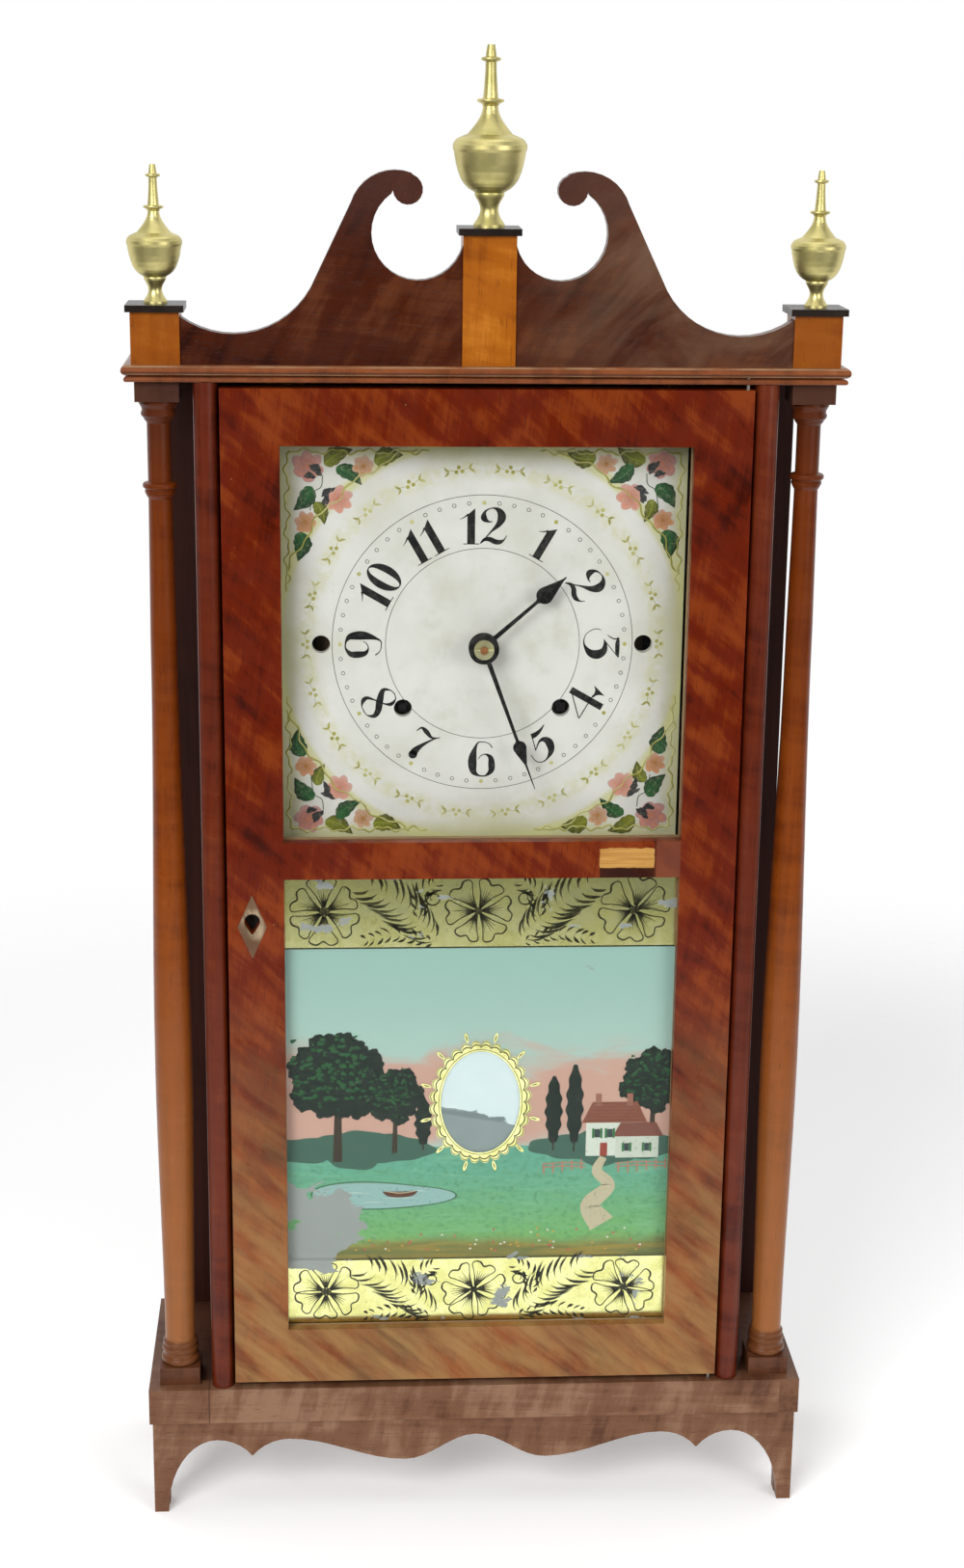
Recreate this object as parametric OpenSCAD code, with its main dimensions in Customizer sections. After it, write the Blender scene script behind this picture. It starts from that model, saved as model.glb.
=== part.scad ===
// Pillar and scroll shelf clock with a weight-driven wooden movement.
// The origin is on the floor under the middle of the clock. The front faces -Y and +Z is up.

/* [Base] */
// Height of the shelf top above the floor
shelf_z = 94; // [85:1:110]
// Height of the rail round the base
rail_h = 25.4; // [22:0.1:30]
// Thickness of the rails round the base
rail_t = 13.5; // [10:0.5:15]
// Thickness of the shelf board
shelf_t = 12; // [9:0.5:16]
// Thickness of the front and side skirts
skirt_t = 10; // [8:0.5:12]
// How far the skirts stand behind the face of the rails
skirt_in = 2; // [1:0.5:4]
// Width of a bracket foot on the floor
foot_w = 9.5; // [8:0.5:12]
// Width of the pieced part of the left foot
foot_piece_w = 19; // [15:1:25]
// Depth of a bracket foot on the floor, seen from the side
side_foot_w = 19; // [17:0.5:24]
// Length of the curve from a foot into the side skirt
foot_bow = 26; // [20:0.5:32]
// Size of the corner blocks inside the base
corner_block = 20; // [16:0.5:24]
// Height of the skirt's side arches above the floor
arch_z = 54.5; // [50:0.5:58]
// Height of the skirt's middle arch above the floor
centre_arch_z = 55.6; // [50:0.1:58]
// Height of the two low bellies of the skirt above the floor
belly_z = 37.2; // [30:0.1:42]
// Height of the two points of the skirt above the floor
point_z = 42; // [36:0.5:46]
// Distance from the middle to the low bellies of the skirt
belly_x = 48; // [40:1:56]
// Distance from the middle to the tops of the inner side arches
inner_arch_x = 128; // [118:1:135]
// Distance from the middle to the points of the skirt
point_x = 153; // [146:1:158]
// Distance from the middle to the tops of the outer side arches
outer_arch_x = 177; // [170:1:182]
// How far the base and the cornice reach past the pillars' blocks
base_edge = 7.4; // [6:0.1:12]

/* [Case] */
// Clear height between the shelf and the top board
case_h = 680; // [670:1:720]
// How far the backboard stays inside the base at each side
backboard_in = 11.2; // [10:0.1:18]
// Thickness of the backboard
backboard_t = 6.1; // [5:0.1:9]
// Thickness of the case sides
side_t = 16.5; // [12:0.5:18]
// Width of the half-round stiles beside the door
stile_w = 15; // [12:0.5:17]
// Clear width of each weight bay
bay_w = 32; // [30:0.5:36]
// Thickness of the partitions beside the weight bays
partition_t = 6; // [4:0.5:8]
// Room from the movement's plates to the far side of a partition
plate_room = 22; // [20:0.5:24]
// Height of the cornice moulding and of the top board
cornice_h = 10.3; // [9:0.1:14]
// Width of the cornice moulding, measured from its front back
moulding_w = 13; // [10:0.5:18]
// Radius of the moulding's upper reed
reed_r = 3.1; // [2.5:0.1:3.5]
// Radius of the moulding's lower bead
bead_r = 1.65; // [1.2:0.05:1.8]
// How far the lower bead stands behind the upper reed
bead_in = 1.5; // [0.5:0.1:3]

/* [Pillars] */
// Gap from the case's side to the pillars' middle
pillar_gap = 25.1; // [22:0.1:28]
// How far the pillar blocks stand behind the front of the base
pillar_in = 8; // [6:0.5:12]
// Width of the square blocks under and over the pillars
block_w = 27; // [25:0.5:30]
// Height of the blocks under the pillars
base_block_h = 12.5; // [11:0.1:16]
// Height of the blocks over the pillars
cap_block_h = 12.7; // [10:0.1:15]
// Radius of the rings at the foot of a pillar
foot_ring_r = 12.9; // [12.6:0.1:13.2]
// Height of the rings at the foot of a pillar
foot_ring_h = 17.5; // [15:0.1:20]
// Radius of the shaft above the foot rings
shaft_foot_r = 10.1; // [9:0.1:10.8]
// Radius of the shaft at its belly
belly_r = 12.4; // [11:0.1:13]
// Place of the belly in the length of the shaft
belly_part = 0.34; // [0.3:0.01:0.4]
// Radius of the shaft at its upper waist
waist_r = 8.35; // [7.6:0.05:9]
// Place of the waist in the length of the shaft
waist_part = 0.85; // [0.8:0.01:0.9]
// Radius of the shaft and of the neck at the top
shaft_top_r = 7.4; // [6.5:0.1:7.6]
// Radius of the collar near the top of the shaft
collar_r = 10.8; // [10:0.1:12]
// Height of the collar near the top of the shaft
collar_h = 10.8; // [9:0.1:13]
// Length of the neck between the collar and the capital
neck_h = 33; // [28:0.5:38]
// How much longer the left neck is than the mean, and the right neck shorter
neck_diff = 3.2; // [0:0.1:5]
// Radius of the turned capital
capital_r = 12; // [11:0.1:13]
// Height of the turned capital
capital_h = 14; // [12:0.5:16]

/* [Crest] */
// Width of the side plinths
side_plinth_w = 29.6; // [26:0.1:32]
// Height of the side plinths
side_plinth_h = 31.5; // [28:0.5:36]
// Width of the centre plinth
centre_plinth_w = 32.4; // [30:0.1:34]
// Height of the centre plinth
centre_plinth_h = 78; // [74:0.5:84]
// Depth of the plinths
plinth_d = 28; // [26:0.5:32]
// How far the plinths stand behind the front of the base
plinth_in = 4; // [3:0.5:8]
// How far the caps stand out round the plinths
cap_out = 2.8; // [1.5:0.1:4]
// Thickness of the caps
cap_h = 4.1; // [3:0.1:5]
// Thickness of the scroll boards
scroll_t = 10; // [8:0.5:12]
// How far the scroll boards stand behind the plinth fronts
scroll_in = 1.5; // [1:0.1:3]
// Thickness and height of the blocks behind the scroll boards
crest_block = 12; // [10:0.5:16]
// Length of the blocks behind the scroll boards
crest_block_l = 30; // [24:0.5:36]
// Distance from the middle to the first block behind a scroll board
crest_block_x = 50; // [45:0.5:60]
// Height of the lowest dip of the scroll boards above the cornice
dip_h = 18.5; // [14:0.5:20]
// Distance from the middle to the lowest dip
dip_x = 155; // [150:1:160]
// Radius of the hollow that rises from the dip
dip_r = 54; // [50:0.5:56]
// Height of the middle of the round eye above the cornice
eye_h = 79; // [77:0.5:82]
// Distance from the middle to the middle of the eye
eye_x = 43.3; // [42:0.1:44]
// Radius of the round eye
eye_r = 28; // [27.5:0.1:29]
// Height of the middle of the swan neck's crown above the cornice
crown_h = 87.7; // [86:0.1:89]
// Distance from the middle to the middle of the crown
crown_x = 57; // [56:0.5:58]
// Radius of the crown
crown_r = 28; // [27:0.5:29]
// Height of the middle of the curled end above the cornice
curl_h = 104.5; // [103:0.5:106]
// Distance from the middle to the middle of the curled end
curl_x = 49.5; // [48.5:0.1:50]
// Radius of the curled end
curl_r = 9; // [8:0.1:10]

/* [Finials] */
// Height of the centre finial
finial_h = 106; // [95:1:115]
// Radius of the centre finial at its rim
finial_r = 22.4; // [20:0.1:24]
// Height of the side finials
side_finial_h = 81.6; // [75:0.1:90]
// Radius of the side finials at their rim
side_finial_r = 16.8; // [15:0.1:18]
// Radius of the studs that hold the finials
stud_r = 2.5; // [2:0.1:3]
// Length of the studs in the plinths
stud_l = 12; // [8:0.5:16]

/* [Door] */
// How far the door covers the front edge of each side
door_lap = 3.75; // [3:0.05:5]
// Room behind the door's corner when it swings
swing_room = 0.7; // [0.6:0.05:1]
// Gap between the door and the stiles beside it
door_side_gap = 1.05; // [0.8:0.05:1.5]
// Gap under the door
door_foot_gap = 4.6; // [3:0.1:6]
// Gap over the door
door_head_gap = 3.3; // [2:0.1:5]
// Thickness of the door
door_t = 19; // [17:0.5:20]
// How far the door stands behind the front of the base
door_in = 1.6; // [1:0.1:4]
// Width of the door stiles
door_stile_w = 36.2; // [35:0.1:38]
// Height of the door's top rail
top_rail_h = 35; // [32:0.5:38]
// Height of the door's middle rail
middle_rail_h = 24.5; // [22:0.5:28]
// How far the middle rail's foot lies below the top board
middle_rail_down = 316.6; // [305:0.1:330]
// Height of the door's bottom rail
bottom_rail_h = 38.8; // [35:0.1:42]
// Thickness of the glasses
glass_t = 2; // [1.5:0.1:2.5]
// How far the glasses lie behind the door's face
glass_in = 7; // [6:0.1:8]
// Width of the rebate that holds the glasses
rebate_w = 5; // [4.5:0.1:6]
// Room round a glass in its rebate
glass_gap = 0.5; // [0.3:0.1:1]
// Depth of the beads behind the glasses
bead_d = 5; // [4:0.1:6]
// Distance from the door's right edge to its pintles
pintle_in = 4; // [3.5:0.1:4.5]
// Distance from the door's face to its pintles
pintle_back = 3.5; // [3.2:0.1:4]
// Radius of the door's pintles and of the studs of the movement
pin_r = 1.2; // [1:0.05:1.4]
// Depth of the pintles in the door
pintle_l = 14; // [10:1:20]

/* [Lock] */
// Height of the keyhole above the shelf
keyhole_up = 331.6; // [320:0.1:345]
// Distance from the door's left edge to the keyhole
keyhole_in = 15.6; // [14:0.1:17]
// Width of the lozenge round the keyhole
lozenge_w = 18.8; // [17:0.1:21]
// Height of the lozenge round the keyhole
lozenge_h = 43; // [38:0.5:46]
// Thickness of the lozenge
lozenge_t = 1.2; // [1:0.1:2]
// How far the lozenge stands out of the door
lozenge_out = 0.3; // [0.1:0.1:0.6]
// Radius of the keyhole's round top
keyhole_r = 5.1; // [4.5:0.1:5.4]
// Radius of the keyhole's narrow foot
keyhole_foot_r = 1.2; // [1:0.1:2]
// Height from the middle of the narrow foot to the middle of the round top
keyhole_drop = 7.6; // [6:0.1:9]
// Width of the lock case
lock_w = 27; // [25:0.5:28]
// Height of the lock case
lock_h = 38; // [32:0.5:44]
// Depth of the lock case
lock_d = 9; // [8.5:0.1:10]
// Length of the bolt
bolt_l = 18; // [14:0.5:19]
// Height of the bolt
bolt_h = 10; // [8:0.5:12]
// Thickness of the bolt
bolt_t = 4; // [3:0.1:4.5]
// Travel of the bolt
bolt_travel = 4.5; // [4:0.1:5.5]

/* [Dial and hands] */
// Height of the dial
dial_h = 260; // [256:0.5:262]
// Thickness of the dial
dial_t = 6; // [4:0.5:7]
// How far the dial's middle lies below the top board
dial_down = 169; // [167:0.5:172]
// How far the dial lies behind the door's face
dial_in = 30; // [29:0.5:32]
// Radius of the dial's centre hole
centre_hole_r = 7; // [6.5:0.1:8]
// Radius of the winding holes and of the two holes level with the centre
winding_hole_r = 5.8; // [5:0.1:6.5]
// Distance from the middle to the winding holes
winding_x = 50.8; // [50:0.1:52]
// How far the winding holes lie below the dial's centre
winding_drop = 42; // [41:0.1:43]
// Distance from the middle to the holes level with the centre
level_hole_x = 103; // [98:0.5:110]
// Length of the hour hand from its centre to its tip
hour_hand_l = 69; // [62:0.5:72]
// Length of the minute hand from its centre to its tip
minute_hand_l = 98; // [90:0.5:100]
// Angle of the hour hand, clockwise from the top
hour_angle = 48.8; // [0:0.1:360]
// Angle of the minute hand, clockwise from the top
minute_angle = 159.8; // [0:0.1:360]
// Thickness of the hands
hand_t = 1; // [0.8:0.1:1.4]
// Middle of the hour hand's drop
hour_drop_at = 51; // [48:0.5:54]
// Radius of the hour hand's drop
hour_drop_r = 5.4; // [4.8:0.1:6]
// Middle of the minute hand's drop
minute_drop_at = 68.6; // [64:0.1:72]
// Radius of the minute hand's drop
minute_drop_r = 4.3; // [4:0.1:5]
// Half width of a hand's stem at its foot
hand_foot = 1.6; // [1.4:0.1:2]
// Half width of a hand's stem below the drop
hand_stem = 1; // [0.8:0.1:1.2]
// Half width of a hand above the drop
hand_neck = 0.7; // [0.5:0.1:0.9]
// Half width of a hand's tip
hand_tip = 0.25; // [0.2:0.05:0.4]
// Radius of the hands' round middles
hand_hub_r = 9.6; // [8.5:0.1:10]
// Gap between the dial and the hour hand
hour_hand_out = 9.5; // [8:0.1:11]
// Gap between the hour hand and the minute hand
hand_gap = 4.5; // [3:0.1:5]
// Radius of the brass collet
collet_r = 6.4; // [5.6:0.1:7]
// Radius of the pin through the arbor in front of the collet
collet_pin_r = 0.6; // [0.5:0.05:0.7]
// Thickness of the brass collet
collet_t = 1.6; // [1.2:0.1:2]

/* [Movement frame] */
// Room between the dial and the front plate
motion_gap = 20.9; // [20:0.1:22]
// Thickness of the wooden plates
plate_t = 8; // [6:0.5:9]
// Room between the plates
train_d = 44; // [43:0.5:48]
// Half width of the plates
plate_half_w = 106; // [105:0.5:112]
// Height of the plates above the dial's centre
plate_up = 104; // [102:0.5:110]
// Depth of the plates below the dial's centre
plate_down = 104; // [103.5:0.5:108]
// Radius of the posts between the plates
post_r = 6; // [5:0.1:7]
// Distance from the plates' top and bottom edges to the posts
post_edge = 9; // [8:0.5:10]
// Distance from the middle to the upper posts
top_post_x = 80; // [76:0.5:84]
// Height of the cleats behind the movement
cleat_h = 20; // [16:0.5:28]
// Thickness of the cleats that carry the movement
cleat_t = 8.4; // [6:0.1:12]
// Half length of the cleats behind the movement
cleat_half_w = 100; // [90:0.5:104]
// Radius of the wooden arbors
arbor_r = 3.1; // [2.9:0.1:3.2]
// Radius of the wire pivots
pivot_r = 1.5; // [1.2:0.1:1.8]
// Running clearance round pivots, arbors and studs
run_gap = 0.05; // [0.03:0.01:0.1]
// Gap between neighbouring faces that are not glued
seat_gap = 0.05; // [0.02:0.01:0.1]
// Thickness of the wooden wheels
wheel_t = 6; // [5:0.5:6.5]
// Radius of the winding arbors
winding_r = 4; // [3.5:0.1:4.5]
// Radius of the arbor that carries the minute hand
centre_arbor_r = 2.5; // [2:0.1:2.8]
// Radius of the hour wheel's pipe
pipe_r = 4.5; // [4:0.1:5]

/* [Trains] */
// Teeth of the going great wheel
great_teeth = 72; // [72]
// Leaves of every pinion
leaves = 8; // [8]
// Teeth of the centre, third and pin wheels
wheel_teeth = 64; // [64]
// Teeth of the escape wheel
escape_teeth = 40; // [40]
// Radius of the escape wheel
escape_r = 22; // [20:0.5:23]
// Thickness of the escape wheel
escape_t = 1.5; // [1:0.1:2]
// Tooth size of the centre wheel, as pitch diameter over teeth
centre_module = 1.2; // [1.1:0.01:1.22]
// Tooth size of the third wheel and of the pin wheel
third_module = 1.1; // [1:0.01:1.12]
// Direction from the centre to the third wheel
third_dir = 62.5; // [58:0.5:68]
// Direction from the third wheel to the escape wheel
escape_dir = 149; // [144:0.5:152]
// Distance from the escape wheel up to the verge stud
verge_up = 28; // [27:0.5:30]
// Gap between the verge's pallets and the escape wheel at rest
pallet_gap = 1.6; // [1.5:0.1:2.5]
// Teeth of the striking great wheel, one for each blow in twelve hours
strike_teeth = 78; // [78]
// Tooth size of the striking great wheel
strike_module = 1.5; // [1.45:0.01:1.52]
// Direction from the striking great wheel to the pin wheel
pin_dir = 110; // [106:0.5:112]
// Number of lifting pins in the pin wheel
lift_pins = 8; // [8]
// Distance from the pin wheel's centre to its lifting pins
lift_pin_x = 28; // [26:0.5:29]
// Direction from the pin wheel to the hoop wheel
hoop_dir = 75; // [70:0.5:80]
// Teeth of the hoop wheel
hoop_teeth = 48; // [48]
// Tooth size of the hoop wheel
hoop_module = 1; // [0.95:0.01:1.05]
// Direction from the hoop wheel to the fly
fly_dir = 60; // [55:0.5:65]
// Half length of the fly
fly_r = 20; // [16:0.5:21]
// Length of the fly's vane along its arbor
vane_l = 12; // [8:0.5:14]
// Thickness of the fly's vane
vane_t = 1.6; // [1.2:0.1:2]
// Teeth of the minute wheel
minute_teeth = 36; // [36]
// Leaves of the cannon pinion and of the minute wheel's pinion
cannon_teeth = 12; // [12]
// Teeth of the hour wheel
hour_teeth = 48; // [48]
// Tooth size of the minute wheel
minute_module = 1; // [0.95:0.01:1.02]
// Direction from the centre to the minute wheel
minute_dir = -60; // [-70:1:-50]
// Slope of the teeth's flanks at the pitch line
tooth_slope = 22; // [20:0.5:24]
// Play between meshing teeth
tooth_play = 0.35; // [0.3:0.01:0.4]
// Height of a wheel's teeth outside the pitch circle, for each millimetre of module
tooth_tip = 0.75; // [0.7:0.01:0.8]
// Height of a pinion's leaves outside the pitch circle, for each millimetre of module
leaf_tip = 0.7; // [0.6:0.01:0.75]
// Depth of all teeth inside the pitch circle, for each millimetre of module
tooth_root = 1.25; // [1.1:0.01:1.3]
// How far a pinion stands out past each side of its wheel
leaf_out = 1; // [0.5:0.1:1.5]
// Width of the squared end of a winding arbor
winding_square = 5.6; // [5:0.1:6]

/* [Pendulum] */
// Radius of the pendulum wire
rod_r = 0.8; // [0.7:0.1:1]
// Radius of the pendulum bob
bob_r = 27; // [24:0.5:29]
// Thickness of the pendulum bob
bob_t = 14; // [11:0.5:16]
// Distance of the pendulum wire in front of the front plate
rod_out = 10; // [9.5:0.1:10.5]
// Radius of the bob's rounded edge
bob_edge_r = 5.6; // [4:0.1:6]
// How far the rod goes on below the bob
rod_below = 10; // [8:1:14]
// Height of the nut under the bob
nut_h = 4; // [3:0.5:6]
// Thickness of the rod's eye on its stud
rod_hub_t = 3; // [2.5:0.1:3.2]
// Radius of the rod's eye and of the verge's pipe
verge_hub_r = 3; // [2.6:0.1:3.4]
// Half the angle between the pallets, seen from the escape wheel
pallet_angle = 41; // [38:0.5:44]
// Thickness of a pallet
pallet_t = 2; // [1.6:0.1:2.4]
// How far the verge's strip is wider than the escape wheel on each side
pallet_out = 0.3; // [0.2:0.1:0.5]
// Height of the verge's strip at its middle
strip_h = 6.4; // [5.6:0.1:7]
// Width of the crutch
crutch_w = 2.4; // [2:0.1:3]
// Thickness of the crutch
crutch_t = 1.4; // [1:0.1:1.6]
// Height of the crutch's fork
fork_h = 4; // [3:0.5:5]
// How far the fork reaches past the middle of the wire to the front
fork_out = 2.5; // [2:0.1:3]
// Width of the crutch's fork
fork_w = 8; // [7:0.1:10]
// Room for the wire beside it in the fork
fork_gap = 0.5; // [0.4:0.1:0.8]
// Length of the crutch from the stud to its fork
crutch_l = 34; // [31:0.5:36]

/* [Bell and hammer] */
// Radius of the bell's rim
bell_r = 35; // [32:0.5:36]
// Depth of the bell
bell_d = 22; // [18:0.5:24]
// Wall of the bell
bell_t = 2.5; // [2:0.1:3]
// How far the bell's middle lies below the dial's centre
bell_down = 150; // [146:0.5:156]
// Distance from the middle to the hammer
hammer_x = 86; // [85.5:0.1:87]
// How far the hammer's arbor lies below the dial's centre
hammer_down = 75; // [74:0.5:78]
// Radius of the hammer's head
hammer_r = 6; // [5:0.1:7]
// Length of the hammer's head
hammer_l = 14; // [12:0.5:16]
// Gap between the hammer at rest and the bell
hammer_gap = 1.3; // [1:0.1:2]
// Length of the hammer's tail above its arbor
tail_l = 62.5; // [60:0.5:63]

/* [Drums and weights] */
// Radius of the line drums
drum_r = 20; // [17:0.5:21]
// Radius of the drums' flanges
flange_r = 23.5; // [22:0.1:24]
// Thickness of the drums' flanges
flange_t = 3; // [2:0.1:4]
// Radius of the lines
line_r = 1.2; // [0.9:0.1:1.4]
// Radius of the pulleys at the bottom of the groove
pulley_r = 15; // [13:0.5:15.5]
// Depth of the pulleys' groove
groove_d = 2.7; // [2.6:0.1:3.2]
// Thickness of the pulleys
pulley_t = 8; // [6:0.5:9]
// Thickness of the cheeks beside the pulleys
cheek_t = 5; // [4:0.5:6]
// Gap between a pulley and its cheeks
cheek_gap = 1; // [0.5:0.1:1.5]
// Half width of the cheeks
cheek_half_w = 10; // [8:0.5:12]
// How far the pulleys lie below the top board
pulley_down = 22; // [21:0.5:25]
// Width of a driving weight
weight_w = 25; // [22:0.5:26]
// Depth of a driving weight
weight_d = 56; // [48:0.5:60]
// Height of a driving weight
weight_h = 150; // [130:1:165]
// Height of a run-down weight above the shelf
weight_up = 6; // [4:0.5:20]
// Radius of the eye on a weight
weight_eye_r = 5; // [4:0.1:6]

/* [Hidden] */
$fn = 48;

// Places across, from the movement outwards to the base's ends
partition_x = plate_half_w + plate_room;
inner_x = partition_x + bay_w;
bay_x = inner_x - bay_w / 2;
side_x = inner_x + side_t;
pillar_x = side_x + pillar_gap;
half_w = pillar_x + block_w / 2 + base_edge;
case_w = 2 * half_w;
backboard_x = half_w - backboard_in;

// Depth, from the door's face through the movement to the backboard
case_d = door_in + dial_in + dial_t + motion_gap + 2 * plate_t + train_d + cleat_t + backboard_t;
front_y = -case_d / 2;
back_y = case_d / 2;
rail_z = shelf_z - rail_h;
head_z = shelf_z + case_h;
crest_z = head_z + cornice_h;
board_y = back_y - backboard_t;
skirt_y = front_y + skirt_in;
skirt_x = half_w - skirt_in;
front_foot_y = skirt_y + side_foot_w;
back_foot_y = back_y - side_foot_w;

// Door
door_x = inner_x + door_lap;
door_y = front_y + door_in;
door_back = door_y + door_t;
door_z0 = shelf_z + door_foot_gap;
door_z1 = head_z - door_head_gap;
pane_x = door_x - door_stile_w;
tablet_z0 = door_z0 + bottom_rail_h;
tablet_z1 = head_z - middle_rail_down;
pane_z0 = tablet_z1 + middle_rail_h;
pane_z1 = door_z1 - top_rail_h;
glass_y = door_y + glass_in;
glass_back = glass_y + glass_t;
pintle_x = door_x - pintle_in;
pintle_y = door_y + pintle_back;
stile_x = door_x + door_side_gap;
stile_back = door_back + swing_room;
keyhole_x = keyhole_in - door_x;
keyhole_z = shelf_z + keyhole_up;
bolt_y = door_back - lock_d / 2;
lock_wall = 2;

// Dial and the hands' levels
dial_z = head_z - dial_down;
dial_y = door_y + dial_in;
dial_back = dial_y + dial_t;
hour_hand_y = dial_y - hour_hand_out;
minute_hand_y = hour_hand_y - hand_t - hand_gap;
collet_y = minute_hand_y - hand_t;
arbor_end_y = collet_y - collet_t - 2 * collet_pin_r - 0.7;

// Movement plates and the wheels' levels between them
plate_y = dial_back + motion_gap;
train_y = plate_y + plate_t;
back_plate_y = train_y + train_d;
cleat_y = back_plate_y + plate_t;
cannon_y = plate_y - 4;
pinion_y = cannon_y - 3;
escape_y = plate_y - 4 - escape_t;
rod_y = plate_y - rod_out;
crutch_y = rod_y + 2;
square_y = dial_back + 9;
end_play = 0.5;
great_y = train_y + 4;
centre_wheel_y = train_y + 14;
third_wheel_y = train_y + 23;
strike_y = back_plate_y - 2 - wheel_t;
pin_wheel_y = strike_y - 4 - wheel_t;
hoop_y = train_y + 13;
vane_y = hoop_y + wheel_t + 3;
drum_y0 = great_y + wheel_t + 2;
drum_y1 = strike_y - 2;
line_y = (drum_y0 + drum_y1) / 2;
hammer_y = strike_y - 2.5;

// Wheel centres, from the dial's centre, right and up
centre = [0, 0];
great = [winding_x, -winding_drop];
strike_great = [-winding_x, -winding_drop];
function step(from, dir, dist) = [from[0] + dist * cos(dir), from[1] + dist * sin(dir)];
function mid_dist(m, n1, n2) = m * (n1 + n2) / 2;
great_module = 2 * norm(great) / (great_teeth + leaves);
third = step(centre, third_dir, mid_dist(centre_module, wheel_teeth, leaves));
escape = step(third, escape_dir, mid_dist(third_module, wheel_teeth, leaves));
verge_at = escape + [0, verge_up];
pin_at = step(strike_great, pin_dir, mid_dist(strike_module, strike_teeth, leaves));
hoop = step(pin_at, hoop_dir, mid_dist(third_module, wheel_teeth, leaves));
fly_at = step(hoop, fly_dir, mid_dist(hoop_module, hoop_teeth, leaves));
minute_dist = mid_dist(minute_module, minute_teeth, cannon_teeth);
minute_at = step(centre, minute_dir, minute_dist);
hour_module = 2 * minute_dist / (hour_teeth + cannon_teeth);
hammer_at = [-hammer_x, -hammer_down];
bell_at = [-hammer_x + hammer_l / 2 + hammer_gap + bell_r, -bell_down];

// Pendulum length in millimetres for the beat that the going train gives
beats_per_hour = 2 * escape_teeth * pow(wheel_teeth / leaves, 2);
gravity = 9810;
pendulum_l = gravity * pow(3600 / beats_per_hour / PI, 2);
bob_z = dial_z + verge_at[1] - pendulum_l;

// Weight bays, pulleys and the lines' run from drum to pulley
partition_top = head_z - pulley_down - pulley_r - groove_d - 2;
groove_r = pulley_r + line_r + 0.05;
wrap_r = drum_r + line_r + 0.05;
pulley_x = bay_x - groove_r;
pulley_z = head_z - pulley_down;
run_x = pulley_x - great[0];
run_z = pulley_z - dial_z - great[1];
run_dist = norm([run_x, run_z]);
run_dir = atan2(run_z, run_x) + asin((wrap_r + groove_r) / run_dist);
run_len = sqrt(pow(run_dist, 2) - pow(wrap_r + groove_r, 2));
weight_z = shelf_z + weight_up;
eye_top = weight_z + weight_h + 2 * weight_eye_r + pin_r;

// Box between two corners
module block(a, b) translate(a) cube(b - a);

// The drawing made of its children, and the same mirrored to the other side
module both_sides() {
  children();
  mirror([1, 0, 0]) children();
}

// Outline in X and Z, given a thickness forward from its back
module upright(back, thick) translate([0, back, 0]) rotate([90, 0, 0]) linear_extrude(thick) children();

// Outline in X and Z about a point given from the dial's centre
module upright_at(at, y0, y1) translate([at[0], y1, dial_z + at[1]]) rotate([90, 0, 0])
  linear_extrude(y1 - y0) children();

// Round bar along Y about a point given from the dial's centre
module bar_y(at, y0, y1, r) translate([at[0], y1, dial_z + at[1]]) rotate([90, 0, 0])
  cylinder(h = y1 - y0, r = r);

// List turned round, and list without its last item
function turn_round(l) = [for (i = [len(l) - 1:-1:0]) l[i]];
function but_last(l) = [for (i = [0:len(l) - 2]) l[i]];

// Points of an arc about c from angle a0 to a1
function arc(c, r, a0, a1, n) = [for (i = [0:n]) let (a = a0 + (a1 - a0) * i / n) c + r * [cos(a), sin(a)]];

// Points from a to b along half a wave
function wave(a, b, n) = [for (i = [0:n]) [a[0] + (b[0] - a[0]) * i / n,
  a[1] + (b[1] - a[1]) * (1 - cos(180 * i / n)) / 2]];

// Points from a to b along part of an ellipse that leaves a level and, with a full quarter, meets b upright
function bow(a, b, n, turn = 90) = [for (i = [0:n]) [a[0] + (b[0] - a[0]) * sin(turn * i / n) / sin(turn),
  b[1] + (a[1] - b[1]) * (cos(turn * i / n) - cos(turn)) / (1 - cos(turn))]];

// Half outline of a turned piece through rows of radius, height and the shape of the next stretch:
// 0 straight, 1 half a wave, 2 quick then slow, 3 slow then quick
function ease(t, shape) = shape == 1 ? (1 - cos(180 * t)) / 2 : shape == 2 ? sin(90 * t) :
  shape == 3 ? 1 - cos(90 * t) : t;
function turned(rows, n) = concat([for (i = [0:len(rows) - 2])
  let (a = rows[i], b = rows[i + 1], k = a[2] == 0 ? 1 : n) for (j = [0:k - 1])
  [a[0] + (b[0] - a[0]) * ease(j / k, a[2]), a[1] + (b[1] - a[1]) * j / k]],
  [[rows[len(rows) - 1][0], rows[len(rows) - 1][1]]]);

// Base

// Lower edge of the front skirt from the middle to the inner side of the right foot
point_turn = 50;
belly = [belly_x, belly_z];
inner_arch = [inner_arch_x, arch_z];
outer_arch = [outer_arch_x, arch_z];
skirt_point = [point_x, point_z];
skirt_edge = concat(
  but_last(wave([0, centre_arch_z], belly, 8)), but_last(wave(belly, inner_arch, 8)),
  but_last(bow(inner_arch, skirt_point, 5, point_turn)),
  but_last(turn_round(bow(outer_arch, skirt_point, 5, point_turn))),
  bow(outer_arch, [skirt_x - foot_w, 0], 10));

module shelf_board() color("saddlebrown")
  block([rail_t - half_w, front_y + rail_t, shelf_z - shelf_t], [half_w - rail_t, back_y, shelf_z]);

module front_base_rail() color("sienna") difference() {
  block([-half_w, front_y, rail_z], [half_w - rail_t, front_y + rail_t, shelf_z]);
  pintles(seat_gap);
}

module side_base_rails() color("sienna") {
  block([half_w - rail_t, front_y, rail_z], [half_w, back_y, shelf_z]);
  block([-half_w, front_y + rail_t, rail_z], [rail_t - half_w, back_y, shelf_z]);
}

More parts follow.
